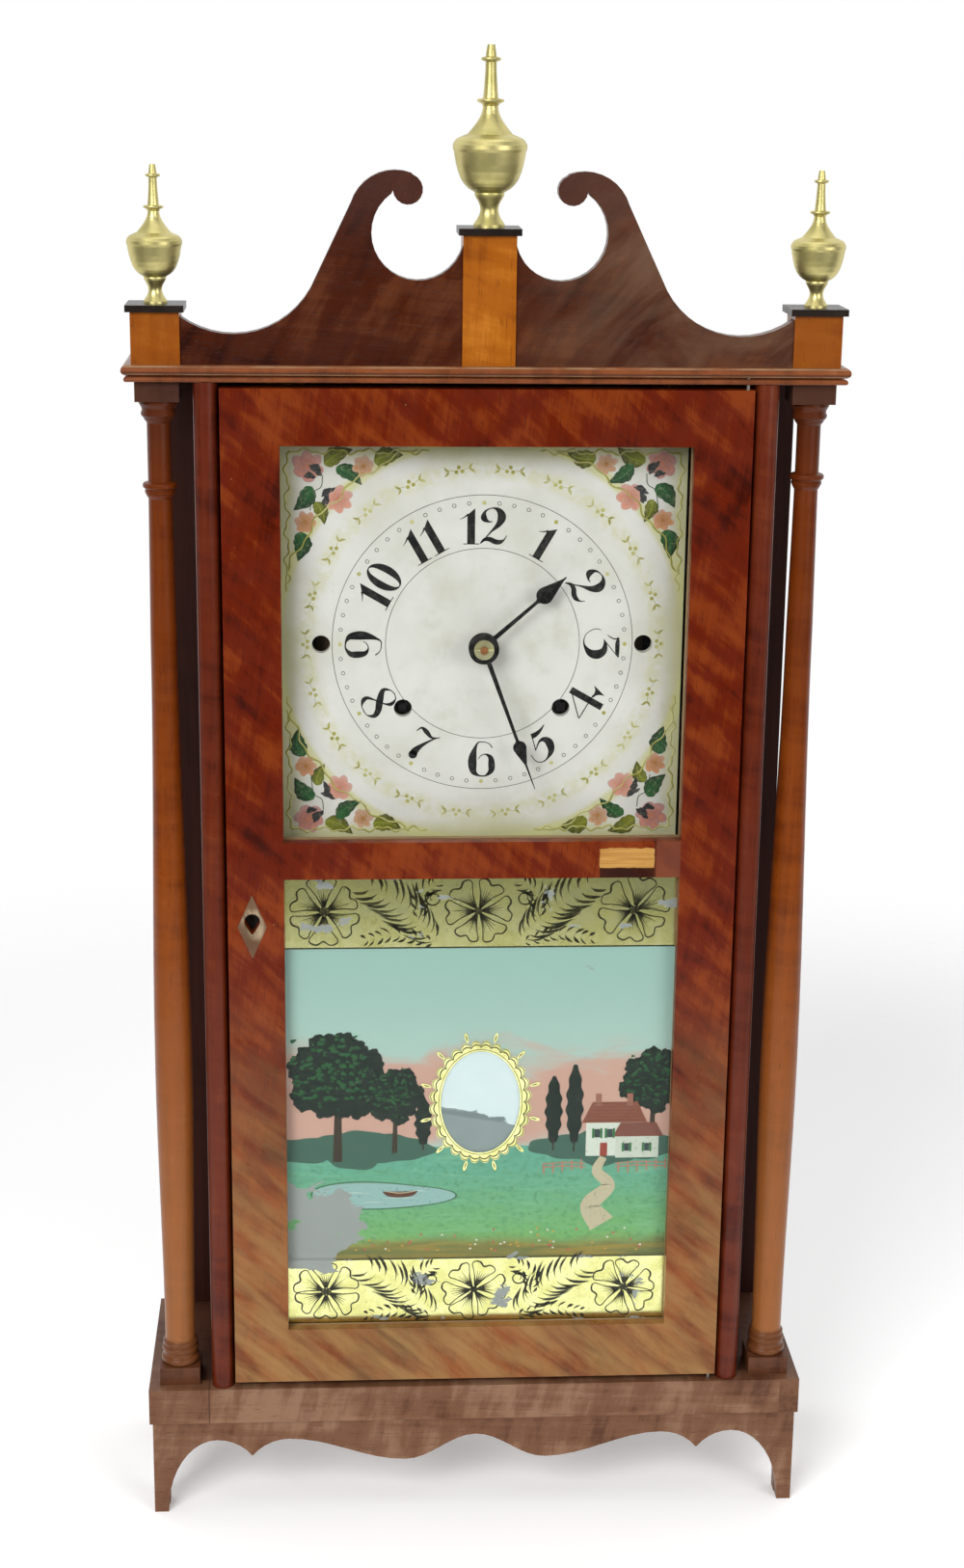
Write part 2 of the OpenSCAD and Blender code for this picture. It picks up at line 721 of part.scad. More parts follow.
module front_skirt() color("brown") upright(skirt_y + skirt_t, skirt_t) difference() {
  polygon(concat([[skirt_x, 0], [skirt_x, rail_z], [-skirt_x, rail_z], [-skirt_x, 0]],
    [for (p = turn_round(skirt_edge)) [-p[0], p[1]]],
    [for (i = [1:len(skirt_edge) - 1]) skirt_edge[i]]));
  translate([foot_piece_w - skirt_x, -1]) square([seat_gap, rail_z + 2]);
}

// A side skirt with its half of the front foot and its back foot, butted behind the front skirt
module side_skirts() color("brown") both_sides() translate([skirt_x - skirt_t, 0, 0])
  rotate([90, 0, 90]) linear_extrude(skirt_t) polygon(concat(
    [[back_y, 0], [back_y, rail_z], [skirt_y + skirt_t, rail_z], [skirt_y + skirt_t, 0]],
    turn_round(bow([front_foot_y + foot_bow, arch_z], [front_foot_y, 0], 8)),
    bow([back_foot_y - foot_bow, arch_z], [back_foot_y, 0], 8)));

// Corner blocks of the base, blocks behind the crest, cleats of the movement and cheeks of the pulleys
block_up = 2;
module glue_blocks() color("burlywood") {
  both_sides() {
    block([half_w - rail_t - corner_block, front_y + rail_t, arch_z + block_up],
      [half_w - rail_t, front_y + rail_t + corner_block, shelf_z - shelf_t]);
    for (x = [crest_block_x, crest_block_x + crest_block_l * 2])
      block([x, scroll_back, crest_z], [x + crest_block_l, scroll_back + crest_block, crest_z + crest_block]);
    for (y = [line_y - pulley_t / 2 - cheek_gap - cheek_t, line_y + pulley_t / 2 + cheek_gap])
      difference() {
        block([pulley_x - cheek_half_w, y, pulley_z - cheek_half_w],
          [pulley_x + cheek_half_w, y + cheek_t, head_z]);
        pulley_axle(seat_gap);
      }
  }
  for (z = [-plate_down, plate_up - cleat_h])
    block([-cleat_half_w, cleat_y, dial_z + z], [cleat_half_w, board_y, dial_z + z + cleat_h]);
}

// Case

module backboard() color("peru")
  block([-backboard_x, board_y, shelf_z], [backboard_x, back_y, head_z]);

module case_sides() color("saddlebrown") both_sides()
  block([inner_x, stile_back, shelf_z], [side_x, board_y, head_z]);

module front_stiles() color("brown") difference() {
  both_sides() translate([stile_x, door_y, shelf_z]) linear_extrude(case_h) {
    translate([stile_w / 2, stile_w / 2]) circle(stile_w / 2);
    translate([0, stile_w / 2]) square([stile_w, stile_back - door_y - stile_w / 2]);
  }
  block([-stile_x - bolt_travel - 1, bolt_y - bolt_t / 2 - 0.5, keyhole_z - bolt_h / 2 - 0.5],
    [1 - stile_x, bolt_y + bolt_t / 2 + 0.5, keyhole_z + bolt_h / 2 + 0.5]);
}

module top_board() color("saddlebrown")
  block([moulding_w - half_w, front_y + moulding_w, head_z], [half_w - moulding_w, back_y, crest_z]);

// Section of the cornice moulding, outwards from its back, over its height
reed_z = cornice_h - reed_r;
moulding_section = concat([[0, cornice_h], [0, 0]],
  arc([moulding_w - bead_in - bead_r, bead_r], bead_r, -90, 90, 8),
  [[moulding_w - bead_in - 2 * bead_r, 2 * bead_r + 0.05],
    [moulding_w - bead_in - 2 * bead_r, reed_z - reed_r]],
  arc([moulding_w - reed_r, reed_z], reed_r, -90, 90, 10));

// Front moulding between two returns, mitred at the corners
module cornice_moulding() color("sienna") {
  difference() {
    intersection() {
      translate([-half_w, front_y + moulding_w, head_z]) rotate([90, 0, 90]) linear_extrude(case_w)
        polygon([for (p = moulding_section) [-p[0], p[1]]]);
      mitre(0);
    }
    pintles(seat_gap);
  }
  both_sides() intersection() {
    translate([half_w - moulding_w, back_y, head_z]) rotate([90, 0, 0]) linear_extrude(case_d)
      polygon(moulding_section);
    difference() {
      block([0, front_y - 1, head_z - 1], [half_w + 1, back_y + 1, crest_z + 1]);
      mitre(seat_gap);
    }
  }
}

// The ground that the front moulding covers, cut at 45 degrees at both ends
module mitre(gap) translate([0, 0, head_z - 1]) linear_extrude(cornice_h + 2)
  polygon([[-half_w - gap, front_y], [-half_w - gap, front_y - 2], [half_w + gap, front_y - 2],
    [half_w + gap, front_y], [half_w - moulding_w + gap, front_y + moulding_w],
    [moulding_w - half_w - gap, front_y + moulding_w]]);

module weight_partitions() color("burlywood") both_sides()
  block([partition_x - partition_t, dial_back, shelf_z], [partition_x, board_y, partition_top]);

// Crest

plinth_y = front_y + plinth_in + plinth_d / 2;
scroll_y = front_y + plinth_in + scroll_in;
scroll_back = scroll_y + scroll_t;

// A plinth with the hole for its finial's stud
module plinth(x, w, h) difference() {
  block([x - w / 2, plinth_y - plinth_d / 2, crest_z], [x + w / 2, plinth_y + plinth_d / 2, crest_z + h]);
  translate([x, plinth_y, crest_z + h - stud_l]) cylinder(h = stud_l + 1, r = stud_r + seat_gap);
}

module plinths() color("peru") {
  plinth(0, centre_plinth_w, centre_plinth_h);
  both_sides() plinth(pillar_x, side_plinth_w, side_plinth_h);
}

module cap(x, w, z) difference() {
  block([x - w / 2 - cap_out, plinth_y - plinth_d / 2 - cap_out, z],
    [x + w / 2 + cap_out, plinth_y + plinth_d / 2 + cap_out, z + cap_h]);
  translate([x, plinth_y, z - 1]) cylinder(h = cap_h + 2, r = stud_r + seat_gap);
}

module plinth_caps() color("maroon") {
  cap(0, centre_plinth_w, crest_z + centre_plinth_h);
  both_sides() cap(pillar_x, side_plinth_w, crest_z + side_plinth_h);
}

// Right scroll board in X and height above the cornice, from the side plinth to the centre plinth
scroll_x0 = centre_plinth_w / 2;
scroll_x1 = pillar_x - side_plinth_w / 2;
dip_at = [dip_x, dip_h + dip_r];
eye_at = [eye_x, eye_h];
crown_at = [crown_x, crown_h];
curl_at = [curl_x, curl_h];
dip_end = acos((scroll_x1 - dip_x) / dip_r);
eye_end = acos((eye_x - scroll_x0) / eye_r);
scroll_outline = concat([[scroll_x0, 0], [scroll_x1, 0]],
  arc(dip_at, dip_r, -dip_end, -158, 14),
  arc(crown_at, crown_r, 18, 110, 9),
  arc(curl_at, curl_r, 110, 356, 12),
  arc(eye_at, eye_r, 55, -180 + eye_end, 20));

module scroll_boards() color("brown") upright(scroll_back, scroll_t) translate([0, crest_z])
  both_sides() polygon(scroll_outline);

// Turned urn finial: rows of radius and height as parts of the rim's radius and of the height
finial_rows = [[0, 0, 0], [0.425, 0, 0], [0.425, 0.016, 2], [0.243, 0.098, 3], [0.385, 0.17, 0],
  [0.405, 0.182, 0], [0.4, 0.193, 0], [0.435, 0.197, 0], [0.55, 0.211, 0], [0.65, 0.229, 0],
  [0.725, 0.248, 0], [0.785, 0.269, 0], [0.862, 0.31, 0], [0.915, 0.351, 0], [0.95, 0.392, 0],
  [0.97, 0.418, 0], [1, 0.434, 0], [1, 0.457, 0], [0.975, 0.465, 0], [0.94, 0.478, 0],
  [0.88, 0.49, 0], [0.75, 0.502, 0], [0.607, 0.514, 2], [0.206, 0.667, 0], [0.25, 0.68, 0],
  [0.355, 0.69, 0], [0.364, 0.697, 0], [0.35, 0.704, 0], [0.205, 0.71, 2], [0.148, 0.906, 0],
  [0.255, 0.915, 0], [0.267, 0.922, 0], [0.255, 0.929, 0], [0.145, 0.935, 0], [0.13, 0.963, 0],
  [0.1, 1, 0], [0, 1, 0]];

module finial(r, h) {
  rotate_extrude($fn = 64) polygon(turned([for (p = finial_rows) [p[0] * r, p[1] * h, p[2]]], 7));
  translate([0, 0, 1 - cap_h - stud_l]) cylinder(h = cap_h + stud_l, r = stud_r);
}

module centre_finial() color("goldenrod")
  translate([0, plinth_y, crest_z + centre_plinth_h + cap_h]) finial(finial_r, finial_h);

module side_finials() color("goldenrod") both_sides()
  translate([pillar_x, plinth_y, crest_z + side_plinth_h + cap_h]) finial(side_finial_r, side_finial_h);

// Pillars

pillar_y = front_y + pillar_in + block_w / 2;
pillar_z0 = shelf_z + base_block_h;
pillar_z1 = head_z - cap_block_h;
shaft_z = pillar_z0 + foot_ring_h;
capital_z = pillar_z1 - capital_h;

// Half outline of a pillar with a given neck: foot rings, shaft, collar, neck and capital
function pillar_rows(neck) = let (collar_z = capital_z - neck - collar_h, shaft_h = collar_z - shaft_z) [
  [0, pillar_z0, 0], [foot_ring_r - 1.2, pillar_z0, 2], [foot_ring_r, pillar_z0 + foot_ring_h * 0.13, 0],
  [foot_ring_r, pillar_z0 + foot_ring_h * 0.22, 1], [foot_ring_r - 1.6, pillar_z0 + foot_ring_h * 0.36, 0],
  [foot_ring_r - 1.6, pillar_z0 + foot_ring_h * 0.48, 1],
  [foot_ring_r - 0.7, pillar_z0 + foot_ring_h * 0.55, 0],
  [foot_ring_r - 0.7, pillar_z0 + foot_ring_h * 0.65, 1],
  [foot_ring_r - 1.9, pillar_z0 + foot_ring_h * 0.73, 1],
  [foot_ring_r - 1.3, pillar_z0 + foot_ring_h * 0.78, 0],
  [foot_ring_r - 1.3, pillar_z0 + foot_ring_h * 0.88, 1],
  [shaft_foot_r, shaft_z, 1], [belly_r, shaft_z + shaft_h * belly_part, 1],
  [waist_r, shaft_z + shaft_h * waist_part, 0], [shaft_top_r, collar_z, 0],
  [collar_r - 2, collar_z + collar_h * 0.22, 0], [collar_r - 2, collar_z + collar_h * 0.28, 0],
  [collar_r - 1.4, collar_z + collar_h * 0.32, 0], [collar_r - 1.2, collar_z + collar_h * 0.46, 0],
  [collar_r - 1.7, collar_z + collar_h * 0.5, 0], [collar_r - 1.3, collar_z + collar_h * 0.57, 0],
  [collar_r, collar_z + collar_h * 0.68, 0], [collar_r, collar_z + collar_h * 0.83, 0],
  [collar_r - 0.6, collar_z + collar_h * 0.91, 0], [shaft_top_r, collar_z + collar_h, 0],
  [shaft_top_r, capital_z, 0], [shaft_top_r + 0.9, capital_z + capital_h * 0.09, 0],
  [capital_r - 3, capital_z + capital_h * 0.15, 1], [capital_r - 1.1, capital_z + capital_h * 0.38, 0],
  [capital_r - 1.1, capital_z + capital_h * 0.46, 0], [capital_r - 1.7, capital_z + capital_h * 0.52, 0],
  [capital_r - 1.7, capital_z + capital_h * 0.57, 3], [capital_r - 0.4, capital_z + capital_h * 0.8, 0],
  [capital_r, capital_z + capital_h * 0.85, 0], [capital_r, pillar_z1, 0], [0, pillar_z1, 0]];

module columns() color("chocolate") for (side = [-1, 1]) translate([side * pillar_x, pillar_y, 0])
  rotate_extrude($fn = 64) polygon(turned(pillar_rows(neck_h - side * neck_diff), 8));

module column_blocks() color("sienna") both_sides()
  for (z = [[shelf_z, pillar_z0], [pillar_z1, head_z]])
    block([pillar_x - block_w / 2, pillar_y - block_w / 2, z[0]],
      [pillar_x + block_w / 2, pillar_y + block_w / 2, z[1]]);

// Door

module pane_rebate(z0, z1) {
  block([-pane_x, door_y - 1, z0], [pane_x, door_back + 1, z1]);
  block([-pane_x - rebate_w, glass_y, z0 - rebate_w], [pane_x + rebate_w, door_back + 1, z1 + rebate_w]);
}

// A piece of the door between two corners, rebated for the glasses
module door_piece(x0, x1, z0, z1) difference() {
  block([x0, door_y, z0], [x1, door_back, z1]);
  pane_rebate(pane_z0, pane_z1);
  pane_rebate(tablet_z0, tablet_z1);
}

module door_left_stile() color("brown") difference() {
  door_piece(-door_x, -pane_x, door_z0, door_z1);
  lock_room();
  upright(door_back - lock_d, door_t) keyhole();
  upright(door_y - lozenge_out + lozenge_t + seat_gap, lozenge_t) lozenge(seat_gap);
}

module door_right_stile() color("brown") difference() {
  door_piece(pane_x, door_x, door_z0, door_z1);
  pintles(run_gap);
}

module door_top_rail() color("brown") door_piece(-pane_x, pane_x, pane_z1, door_z1);

module door_middle_rail() color("brown") door_piece(-pane_x, pane_x, tablet_z1, pane_z0);

module door_bottom_rail() color("brown") door_piece(-pane_x, pane_x, door_z0, tablet_z0);

module glass(z0, z1) {
  out = rebate_w - glass_gap;
  block([-pane_x - out, glass_y, z0 - out], [pane_x + out, glass_back, z1 + out]);
}

module dial_glass() color("aliceblue", 0.3) glass(pane_z0, pane_z1);

module tablet_glass() color("aquamarine") glass(tablet_z0, tablet_z1);

// Four beads round the back of each glass
module glass_beads() color("burlywood") for (z = [[pane_z0, pane_z1], [tablet_z0, tablet_z1]]) {
  out = rebate_w - glass_gap;
  both_sides()
    block([pane_x - seat_gap, glass_back, z[0] - out], [pane_x + out, glass_back + bead_d, z[1] + out]);
  for (zz = [z[0] - out, z[1]])
    block([seat_gap * 2 - pane_x, glass_back, zz], [pane_x - seat_gap * 2, glass_back + bead_d, zz + out]);
}

// Keyhole, worn to an egg with its narrow end down, and the lozenge round it
module keyhole() translate([keyhole_x, keyhole_z]) hull() {
  translate([0, keyhole_drop / 2]) circle(keyhole_r);
  translate([0, -keyhole_drop / 2]) circle(keyhole_foot_r);
}

module lozenge(gap) translate([keyhole_x, keyhole_z])
  polygon([[-lozenge_w / 2 - gap, 0], [0, -lozenge_h / 2 - gap], [lozenge_w / 2 + gap, 0],
    [0, lozenge_h / 2 + gap]]);

module keyhole_plate() color("tan") upright(door_y - lozenge_out + lozenge_t, lozenge_t) difference() {
  lozenge(0);
  keyhole();
}

// Room of the lock, open at the back and at the edge of the door
lock_x = 0.3 - door_x;
module lock_room() block([-door_x - 1, door_back - lock_d - seat_gap, keyhole_z - lock_h / 2 - seat_gap],
  [lock_x + lock_w + seat_gap, door_back + 1, keyhole_z + lock_h / 2 + seat_gap]);

module lock_case() color("dimgray") difference() {
  block([lock_x, door_back - lock_d, keyhole_z - lock_h / 2],
    [lock_x + lock_w, door_back, keyhole_z + lock_h / 2]);
  block([lock_x - 1, bolt_y - bolt_t / 2 - 2 * run_gap, keyhole_z - bolt_h / 2 - 2 * run_gap],
    [lock_x + bolt_l + 0.5, bolt_y + bolt_t / 2 + 2 * run_gap, keyhole_z + bolt_h / 2 + 2 * run_gap]);
  upright(door_back - lock_d + lock_wall, door_t) keyhole();
}

module lock_bolt() color("gray") block([lock_x, bolt_y - bolt_t / 2, keyhole_z - bolt_h / 2],
  [lock_x + bolt_l, bolt_y + bolt_t / 2, keyhole_z + bolt_h / 2]);

// The two wires that the door turns on, in the front rail below and in the moulding above
module pintles(gap) {
  translate([pintle_x, pintle_y, shelf_z - rail_h / 2 - gap])
    cylinder(h = rail_h / 2 + door_foot_gap + pintle_l + 2 * gap, r = pin_r + gap);
  translate([pintle_x, pintle_y, door_z1 - pintle_l - gap])
    cylinder(h = pintle_l + door_head_gap + cornice_h / 2 + 2 * gap, r = pin_r + gap);
}

module pulley_axle(gap) translate([pulley_x, line_y + pulley_t / 2 + cheek_gap + cheek_t, pulley_z])
  rotate([90, 0, 0]) cylinder(h = pulley_t + 2 * cheek_gap + 2 * cheek_t, r = pivot_r + gap);

// Pintles, axles of the pulleys and studs of the verge, minute wheel and hammer
module wire_pins() color("silver") {
  pintles(0);
  both_sides() pulley_axle(0);
  bar_y(verge_at, rod_y - 3, train_y - 1, pin_r);
  bar_y(minute_at, pinion_y - 1, train_y - 1, pin_r);
  bar_y(hammer_at, plate_y + 1, strike_y - 0.4, pin_r);
}

// Dial and hands

module dial_board() color("ivory") upright_at(centre, dial_y, dial_back) difference() {
  translate([-partition_x, -dial_h / 2]) square([2 * partition_x, dial_h]);
  circle(centre_hole_r);
  for (s = [-1, 1]) {
    translate([s * winding_x, -winding_drop]) circle(winding_hole_r);
    translate([s * level_hole_x, 0]) circle(winding_hole_r);
  }
}

// Hand pointing up: round middle with a hole, stem, drop and tip
module hand(l, drop_at, drop_r, hole) difference() {
  union() {
    circle(hand_hub_r);
    half = concat([[hand_foot, 0], [hand_stem, drop_at - 1.2 * drop_r]], arc([0, drop_at], drop_r, -70, 20, 8),
      [[hand_neck, drop_at + 2.8 * drop_r], [hand_tip, l]]);
    polygon(concat(half, [for (p = turn_round(half)) [-p[0], p[1]]]));
  }
  circle(hole);
}

module hour_hand() color("black") upright_at(centre, hour_hand_y - hand_t, hour_hand_y)
  rotate(-hour_angle) hand(hour_hand_l, hour_drop_at, hour_drop_r, pipe_r + seat_gap);

module minute_hand() color("black") upright_at(centre, minute_hand_y - hand_t, minute_hand_y)
  rotate(-minute_angle) hand(minute_hand_l, minute_drop_at, minute_drop_r, centre_arbor_r + seat_gap);

// Brass washer and the pin through the arbor in front of it
module hand_collet() color("gold") {
  upright_at(centre, collet_y - collet_t, collet_y) difference() {
    circle(collet_r);
    circle(centre_arbor_r + seat_gap);
  }
  collet_pin(0);
}

module collet_pin(gap) translate([-collet_r + 0.6 - gap, collet_y - collet_t - collet_pin_r - 0.05, dial_z])
  rotate([0, 90, 0]) cylinder(h = 2 * (collet_r - 0.6 + gap), r = collet_pin_r + gap);

// Movement frame

plate_bores = [third, pin_at, hoop, fly_at];
module plate_outline() translate([-plate_half_w, -plate_down])
  square([2 * plate_half_w, plate_up + plate_down]);
module bores(at, r) for (p = at) translate(p) circle(r + run_gap);

module movement_frame() color("burlywood") {
  upright_at(centre, plate_y, train_y) difference() {
    plate_outline();
    bores(plate_bores, pivot_r);
    bores([great, strike_great], winding_r);
    bores([centre, escape], centre_arbor_r);
    bores([verge_at, minute_at, hammer_at], pin_r);
  }
  upright_at(centre, back_plate_y, cleat_y) difference() {
    plate_outline();
    bores(concat(plate_bores, [great, strike_great, centre, escape]), pivot_r);
  }
  post_ends = [[top_post_x, plate_up - post_edge], [plate_half_w - post_edge, post_edge - plate_down]];
  for (s = [-1, 1]) for (at = post_ends)
    bar_y([s * at[0], at[1]], train_y + seat_gap, back_plate_y - seat_gap, post_r);
}

// Outline of a toothed wheel with involute flanks, turned so that a tooth points along turn
module gear(n, m, turn) {
  rp = m * n / 2;
  rb = rp * cos(tooth_slope);
  ra = rp + m * (n > cannon_teeth ? tooth_tip : leaf_tip);
  rr = rp - m * tooth_root;
  play = tooth_play / 4 / rp * 180 / PI;
  rs = rr < rb ? [rr, rb, (rb + ra) / 2, ra] : [rr, rp, ra];
  half = 90 / n - play + involute(rp, rb);
  polygon([for (i = [0:n - 1]) let (a = turn + 360 * i / n)
    for (s = [-1, 1]) for (k = [0:len(rs) - 1])
      let (r = rs[s < 0 ? k : len(rs) - 1 - k], w = half - involute(max(r, rb), rb))
      r * [cos(a + s * w), sin(a + s * w)]]);
}

// Roll of an involute from its base circle rb out to r, in degrees
function involute(r, rb) = let (a = acos(rb / r)) tan(a) * 180 / PI - a;

// Turn of a wheel with n2 teeth that meshes with one of n1 teeth, which turn1 is turned by, along dir
function meshed(n1, turn1, dir, n2) = dir + 180 - (0.5 - (dir - turn1) * n1 / 360) * 360 / n2;

// Wooden arbor with wire pivots in both plates
module arbor(at) {
  bar_y(at, train_y + end_play, back_plate_y - end_play, arbor_r);
  bar_y(at, plate_y + 1, cleat_y - 1, pivot_r);
}

// Going train

great_dir = atan2(-great[1], -great[0]);
great_turn = 0;
centre_pinion_turn = meshed(great_teeth, great_turn, great_dir, leaves);
centre_turn = 0;
third_pinion_turn = meshed(wheel_teeth, centre_turn, third_dir, leaves);
third_turn = 0;
escape_pinion_turn = meshed(wheel_teeth, third_turn, escape_dir, leaves);

module time_great_wheel() color("burlywood")
  upright_at(great, great_y, great_y + wheel_t) difference() {
    gear(great_teeth, great_module, great_turn);
    circle(winding_r + run_gap);
  }

// Line drum between two flanges on a winding arbor with a squared end
module drum(at) {
  bar_y(at, drum_y0 + seat_gap, drum_y1 - seat_gap, drum_r);
  bar_y(at, drum_y0 + seat_gap, drum_y0 + flange_t, flange_r);
  bar_y(at, drum_y1 - flange_t, drum_y1 - seat_gap, flange_r);
  bar_y(at, square_y, back_plate_y - end_play, winding_r);
  upright_at(at, dial_y + 2, square_y + 1) square(winding_square, center = true);
  bar_y(at, back_plate_y - 1, cleat_y - 1, pivot_r);
}

module time_drum() color("tan") drum(great);

module center_wheel() color("burlywood") {
  arbor(centre);
  upright_at(centre, great_y - leaf_out, great_y + wheel_t + leaf_out)
    gear(leaves, great_module, centre_pinion_turn);
  upright_at(centre, centre_wheel_y, centre_wheel_y + wheel_t) gear(wheel_teeth, centre_module, centre_turn);
  upright_at(centre, cannon_y, plate_y - 1) gear(cannon_teeth, minute_module, cannon_turn);
  difference() {
    bar_y(centre, arbor_end_y, train_y + 1, centre_arbor_r);
    collet_pin(seat_gap);
  }
}

module third_wheel() color("burlywood") {
  arbor(third);
  upright_at(third, centre_wheel_y - leaf_out, centre_wheel_y + wheel_t + leaf_out)
    gear(leaves, centre_module, third_pinion_turn);
  upright_at(third, third_wheel_y, third_wheel_y + wheel_t) gear(wheel_teeth, third_module, third_turn);
}

// Escape wheel with pointed teeth, in front of the front plate
module escape_wheel() color("goldenrod") {
  bar_y(escape, train_y + end_play, back_plate_y - end_play, arbor_r);
  bar_y(escape, back_plate_y - 1, cleat_y - 1, pivot_r);
  bar_y(escape, escape_y - 1, train_y + 1, centre_arbor_r);
  upright_at(escape, third_wheel_y - leaf_out, third_wheel_y + wheel_t + leaf_out)
    gear(leaves, third_module, escape_pinion_turn);
  upright_at(escape, escape_y, escape_y + escape_t) difference() {
    polygon([for (i = [0:escape_teeth - 1]) let (a = 360 * i / escape_teeth)
      for (p = [[escape_r - 3, a], [escape_r, a + 1.2], [escape_r, a + 2], [escape_r - 3, a + 4.5]])
        p[0] * [cos(p[1]), sin(p[1])]]);
    for (a = [45:90:315]) rotate(a) translate([escape_r / 2 + 0.7, 0]) circle(4.6);
  }
}

// Bent strip with two pallets over the escape wheel, and the crutch down to the pendulum
module verge() color("slategray") {
  difference() {
    union() {
      bar_y(verge_at, crutch_y, plate_y - 1.5, verge_hub_r);
      upright_at(verge_at, escape_y - pallet_out, escape_y + escape_t + pallet_out)
        polygon(concat(verge_side, [for (p = turn_round(verge_side)) [-p[0], p[1]]]));
      upright_at(verge_at, crutch_y, crutch_y + crutch_t) {
        translate([-crutch_w / 2, -crutch_l]) square([crutch_w, crutch_l]);
        translate([-fork_w / 2, -crutch_l]) square([fork_w, fork_h]);
      }
      for (s = [-1, 1]) upright_at(verge_at, rod_y - fork_out, crutch_y + crutch_t / 2)
        translate([s * (fork_w / 2 - fork_side / 2) - fork_side / 2, -crutch_l]) square([fork_side, fork_h]);
    }
    bar_y(verge_at, crutch_y - 1, plate_y, pin_r + run_gap);
  }
}

// Half of the bent strip, from above the stud out to the pallet and back below the stud
fork_side = fork_w / 2 - rod_r - fork_gap;
pallet_x = (escape_r + pallet_gap) * sin(pallet_angle);
pallet_z = (escape_r + pallet_gap) * cos(pallet_angle) - verge_up;
verge_side = [[0, strip_h / 2], [0.55 * pallet_x, 0], [pallet_x + pallet_t, pallet_z + 0.8 * pallet_t],
  [pallet_x, pallet_z], [0.5 * pallet_x, -strip_h / 2], [0, -strip_h / 2]];

module pendulum_rod() color("silver") {
  difference() {
    union() {
      bar_y(verge_at, rod_y - rod_hub_t / 2, rod_y + rod_hub_t / 2, verge_hub_r);
      translate([verge_at[0], rod_y, bob_z - bob_r - rod_below])
        cylinder(h = pendulum_l + bob_r + rod_below - 2, r = rod_r);
      translate([verge_at[0], rod_y, bob_z - bob_r - nut_h]) cylinder(h = nut_h - seat_gap, r = verge_hub_r);
    }
    bar_y(verge_at, rod_y - rod_hub_t, rod_y + rod_hub_t, pin_r + run_gap);
  }
}

module pendulum_bob() color("gold") difference() {
  translate([verge_at[0], rod_y, bob_z]) rotate([90, 0, 0]) rotate_extrude($fn = 64)
    polygon(concat([[0, -bob_t / 2]], arc([bob_r - bob_edge_r, 0], bob_edge_r, -70, 70, 8), [[0, bob_t / 2]]));
  block([verge_at[0] - rod_r - seat_gap, rod_y - rod_r - seat_gap, bob_z - bob_r - 1],
    [verge_at[0] + rod_r + seat_gap, rod_y + rod_r + seat_gap, bob_z + bob_r + 1]);
}

// Motion work between the front plate and the dial

cannon_turn = 0;
minute_turn = meshed(cannon_teeth, cannon_turn, minute_dir, minute_teeth);
hour_turn = meshed(cannon_teeth, 0, minute_dir + 180, hour_teeth);

module minute_wheel() color("burlywood") difference() {
  union() {
    upright_at(minute_at, cannon_y + 0.3, plate_y - 1.3) gear(minute_teeth, minute_module, minute_turn);
    upright_at(minute_at, pinion_y, cannon_y + 1) gear(cannon_teeth, hour_module, 0);
  }
  bar_y(minute_at, pinion_y - 1, plate_y, pin_r + run_gap);
}

module hour_wheel() color("burlywood") difference() {
  union() {
    upright_at(centre, pinion_y + 0.3, cannon_y - 0.3) gear(hour_teeth, hour_module, hour_turn);
    bar_y(centre, hour_hand_y - hand_t - 1, cannon_y - 0.3, pipe_r);
  }
  bar_y(centre, hour_hand_y - hand_t - 2, cannon_y, centre_arbor_r + run_gap);
}

// Striking train

strike_turn = 0;
pin_pinion_turn = meshed(strike_teeth, strike_turn, pin_dir, leaves);
pin_turn = 0;
hoop_pinion_turn = meshed(wheel_teeth, pin_turn, hoop_dir, leaves);
hoop_turn = 0;
fly_pinion_turn = meshed(hoop_teeth, hoop_turn, fly_dir, leaves);

module strike_great_wheel() color("burlywood")
  upright_at(strike_great, strike_y, strike_y + wheel_t) difference() {
    gear(strike_teeth, strike_module, strike_turn);
    circle(winding_r + run_gap);
  }

module strike_drum() color("tan") drum(strike_great);

module pin_wheel() color("burlywood") {
  arbor(pin_at);
  upright_at(pin_at, strike_y - leaf_out, strike_y + wheel_t + leaf_out)
    gear(leaves, strike_module, pin_pinion_turn);
  upright_at(pin_at, pin_wheel_y, pin_wheel_y + wheel_t) gear(wheel_teeth, third_module, pin_turn);
  for (i = [0:lift_pins - 1])
    bar_y(step(pin_at, 360 * i / lift_pins, lift_pin_x), pin_wheel_y + 1, pin_wheel_y + wheel_t + 3, pivot_r);
}

module hoop_wheel() color("burlywood") {
  arbor(hoop);
  upright_at(hoop, pin_wheel_y - leaf_out, pin_wheel_y + wheel_t + leaf_out)
    gear(leaves, third_module, hoop_pinion_turn);
  upright_at(hoop, hoop_y, hoop_y + wheel_t) gear(hoop_teeth, hoop_module, hoop_turn);
}

module fly() color("tan") {
  arbor(fly_at);
  upright_at(fly_at, hoop_y - leaf_out, hoop_y + wheel_t + leaf_out) gear(leaves, hoop_module, fly_pinion_turn);
  upright_at(fly_at, vane_y, vane_y + vane_l) square([2 * fly_r, vane_t], center = true);
}

module hammer() color("dimgray") difference() {
  union() {
    bar_y(hammer_at, train_y + 1, strike_y - 0.9, arbor_r);
    translate([hammer_at[0], hammer_y, dial_z - bell_down])
      cylinder(h = bell_down - hammer_down + tail_l, r = pin_r);
    translate([hammer_at[0] - hammer_l / 2, hammer_y, dial_z - bell_down]) rotate([0, 90, 0])
      cylinder(h = hammer_l, r = hammer_r);
  }
  bar_y(hammer_at, train_y, strike_y, pin_r + run_gap);
}

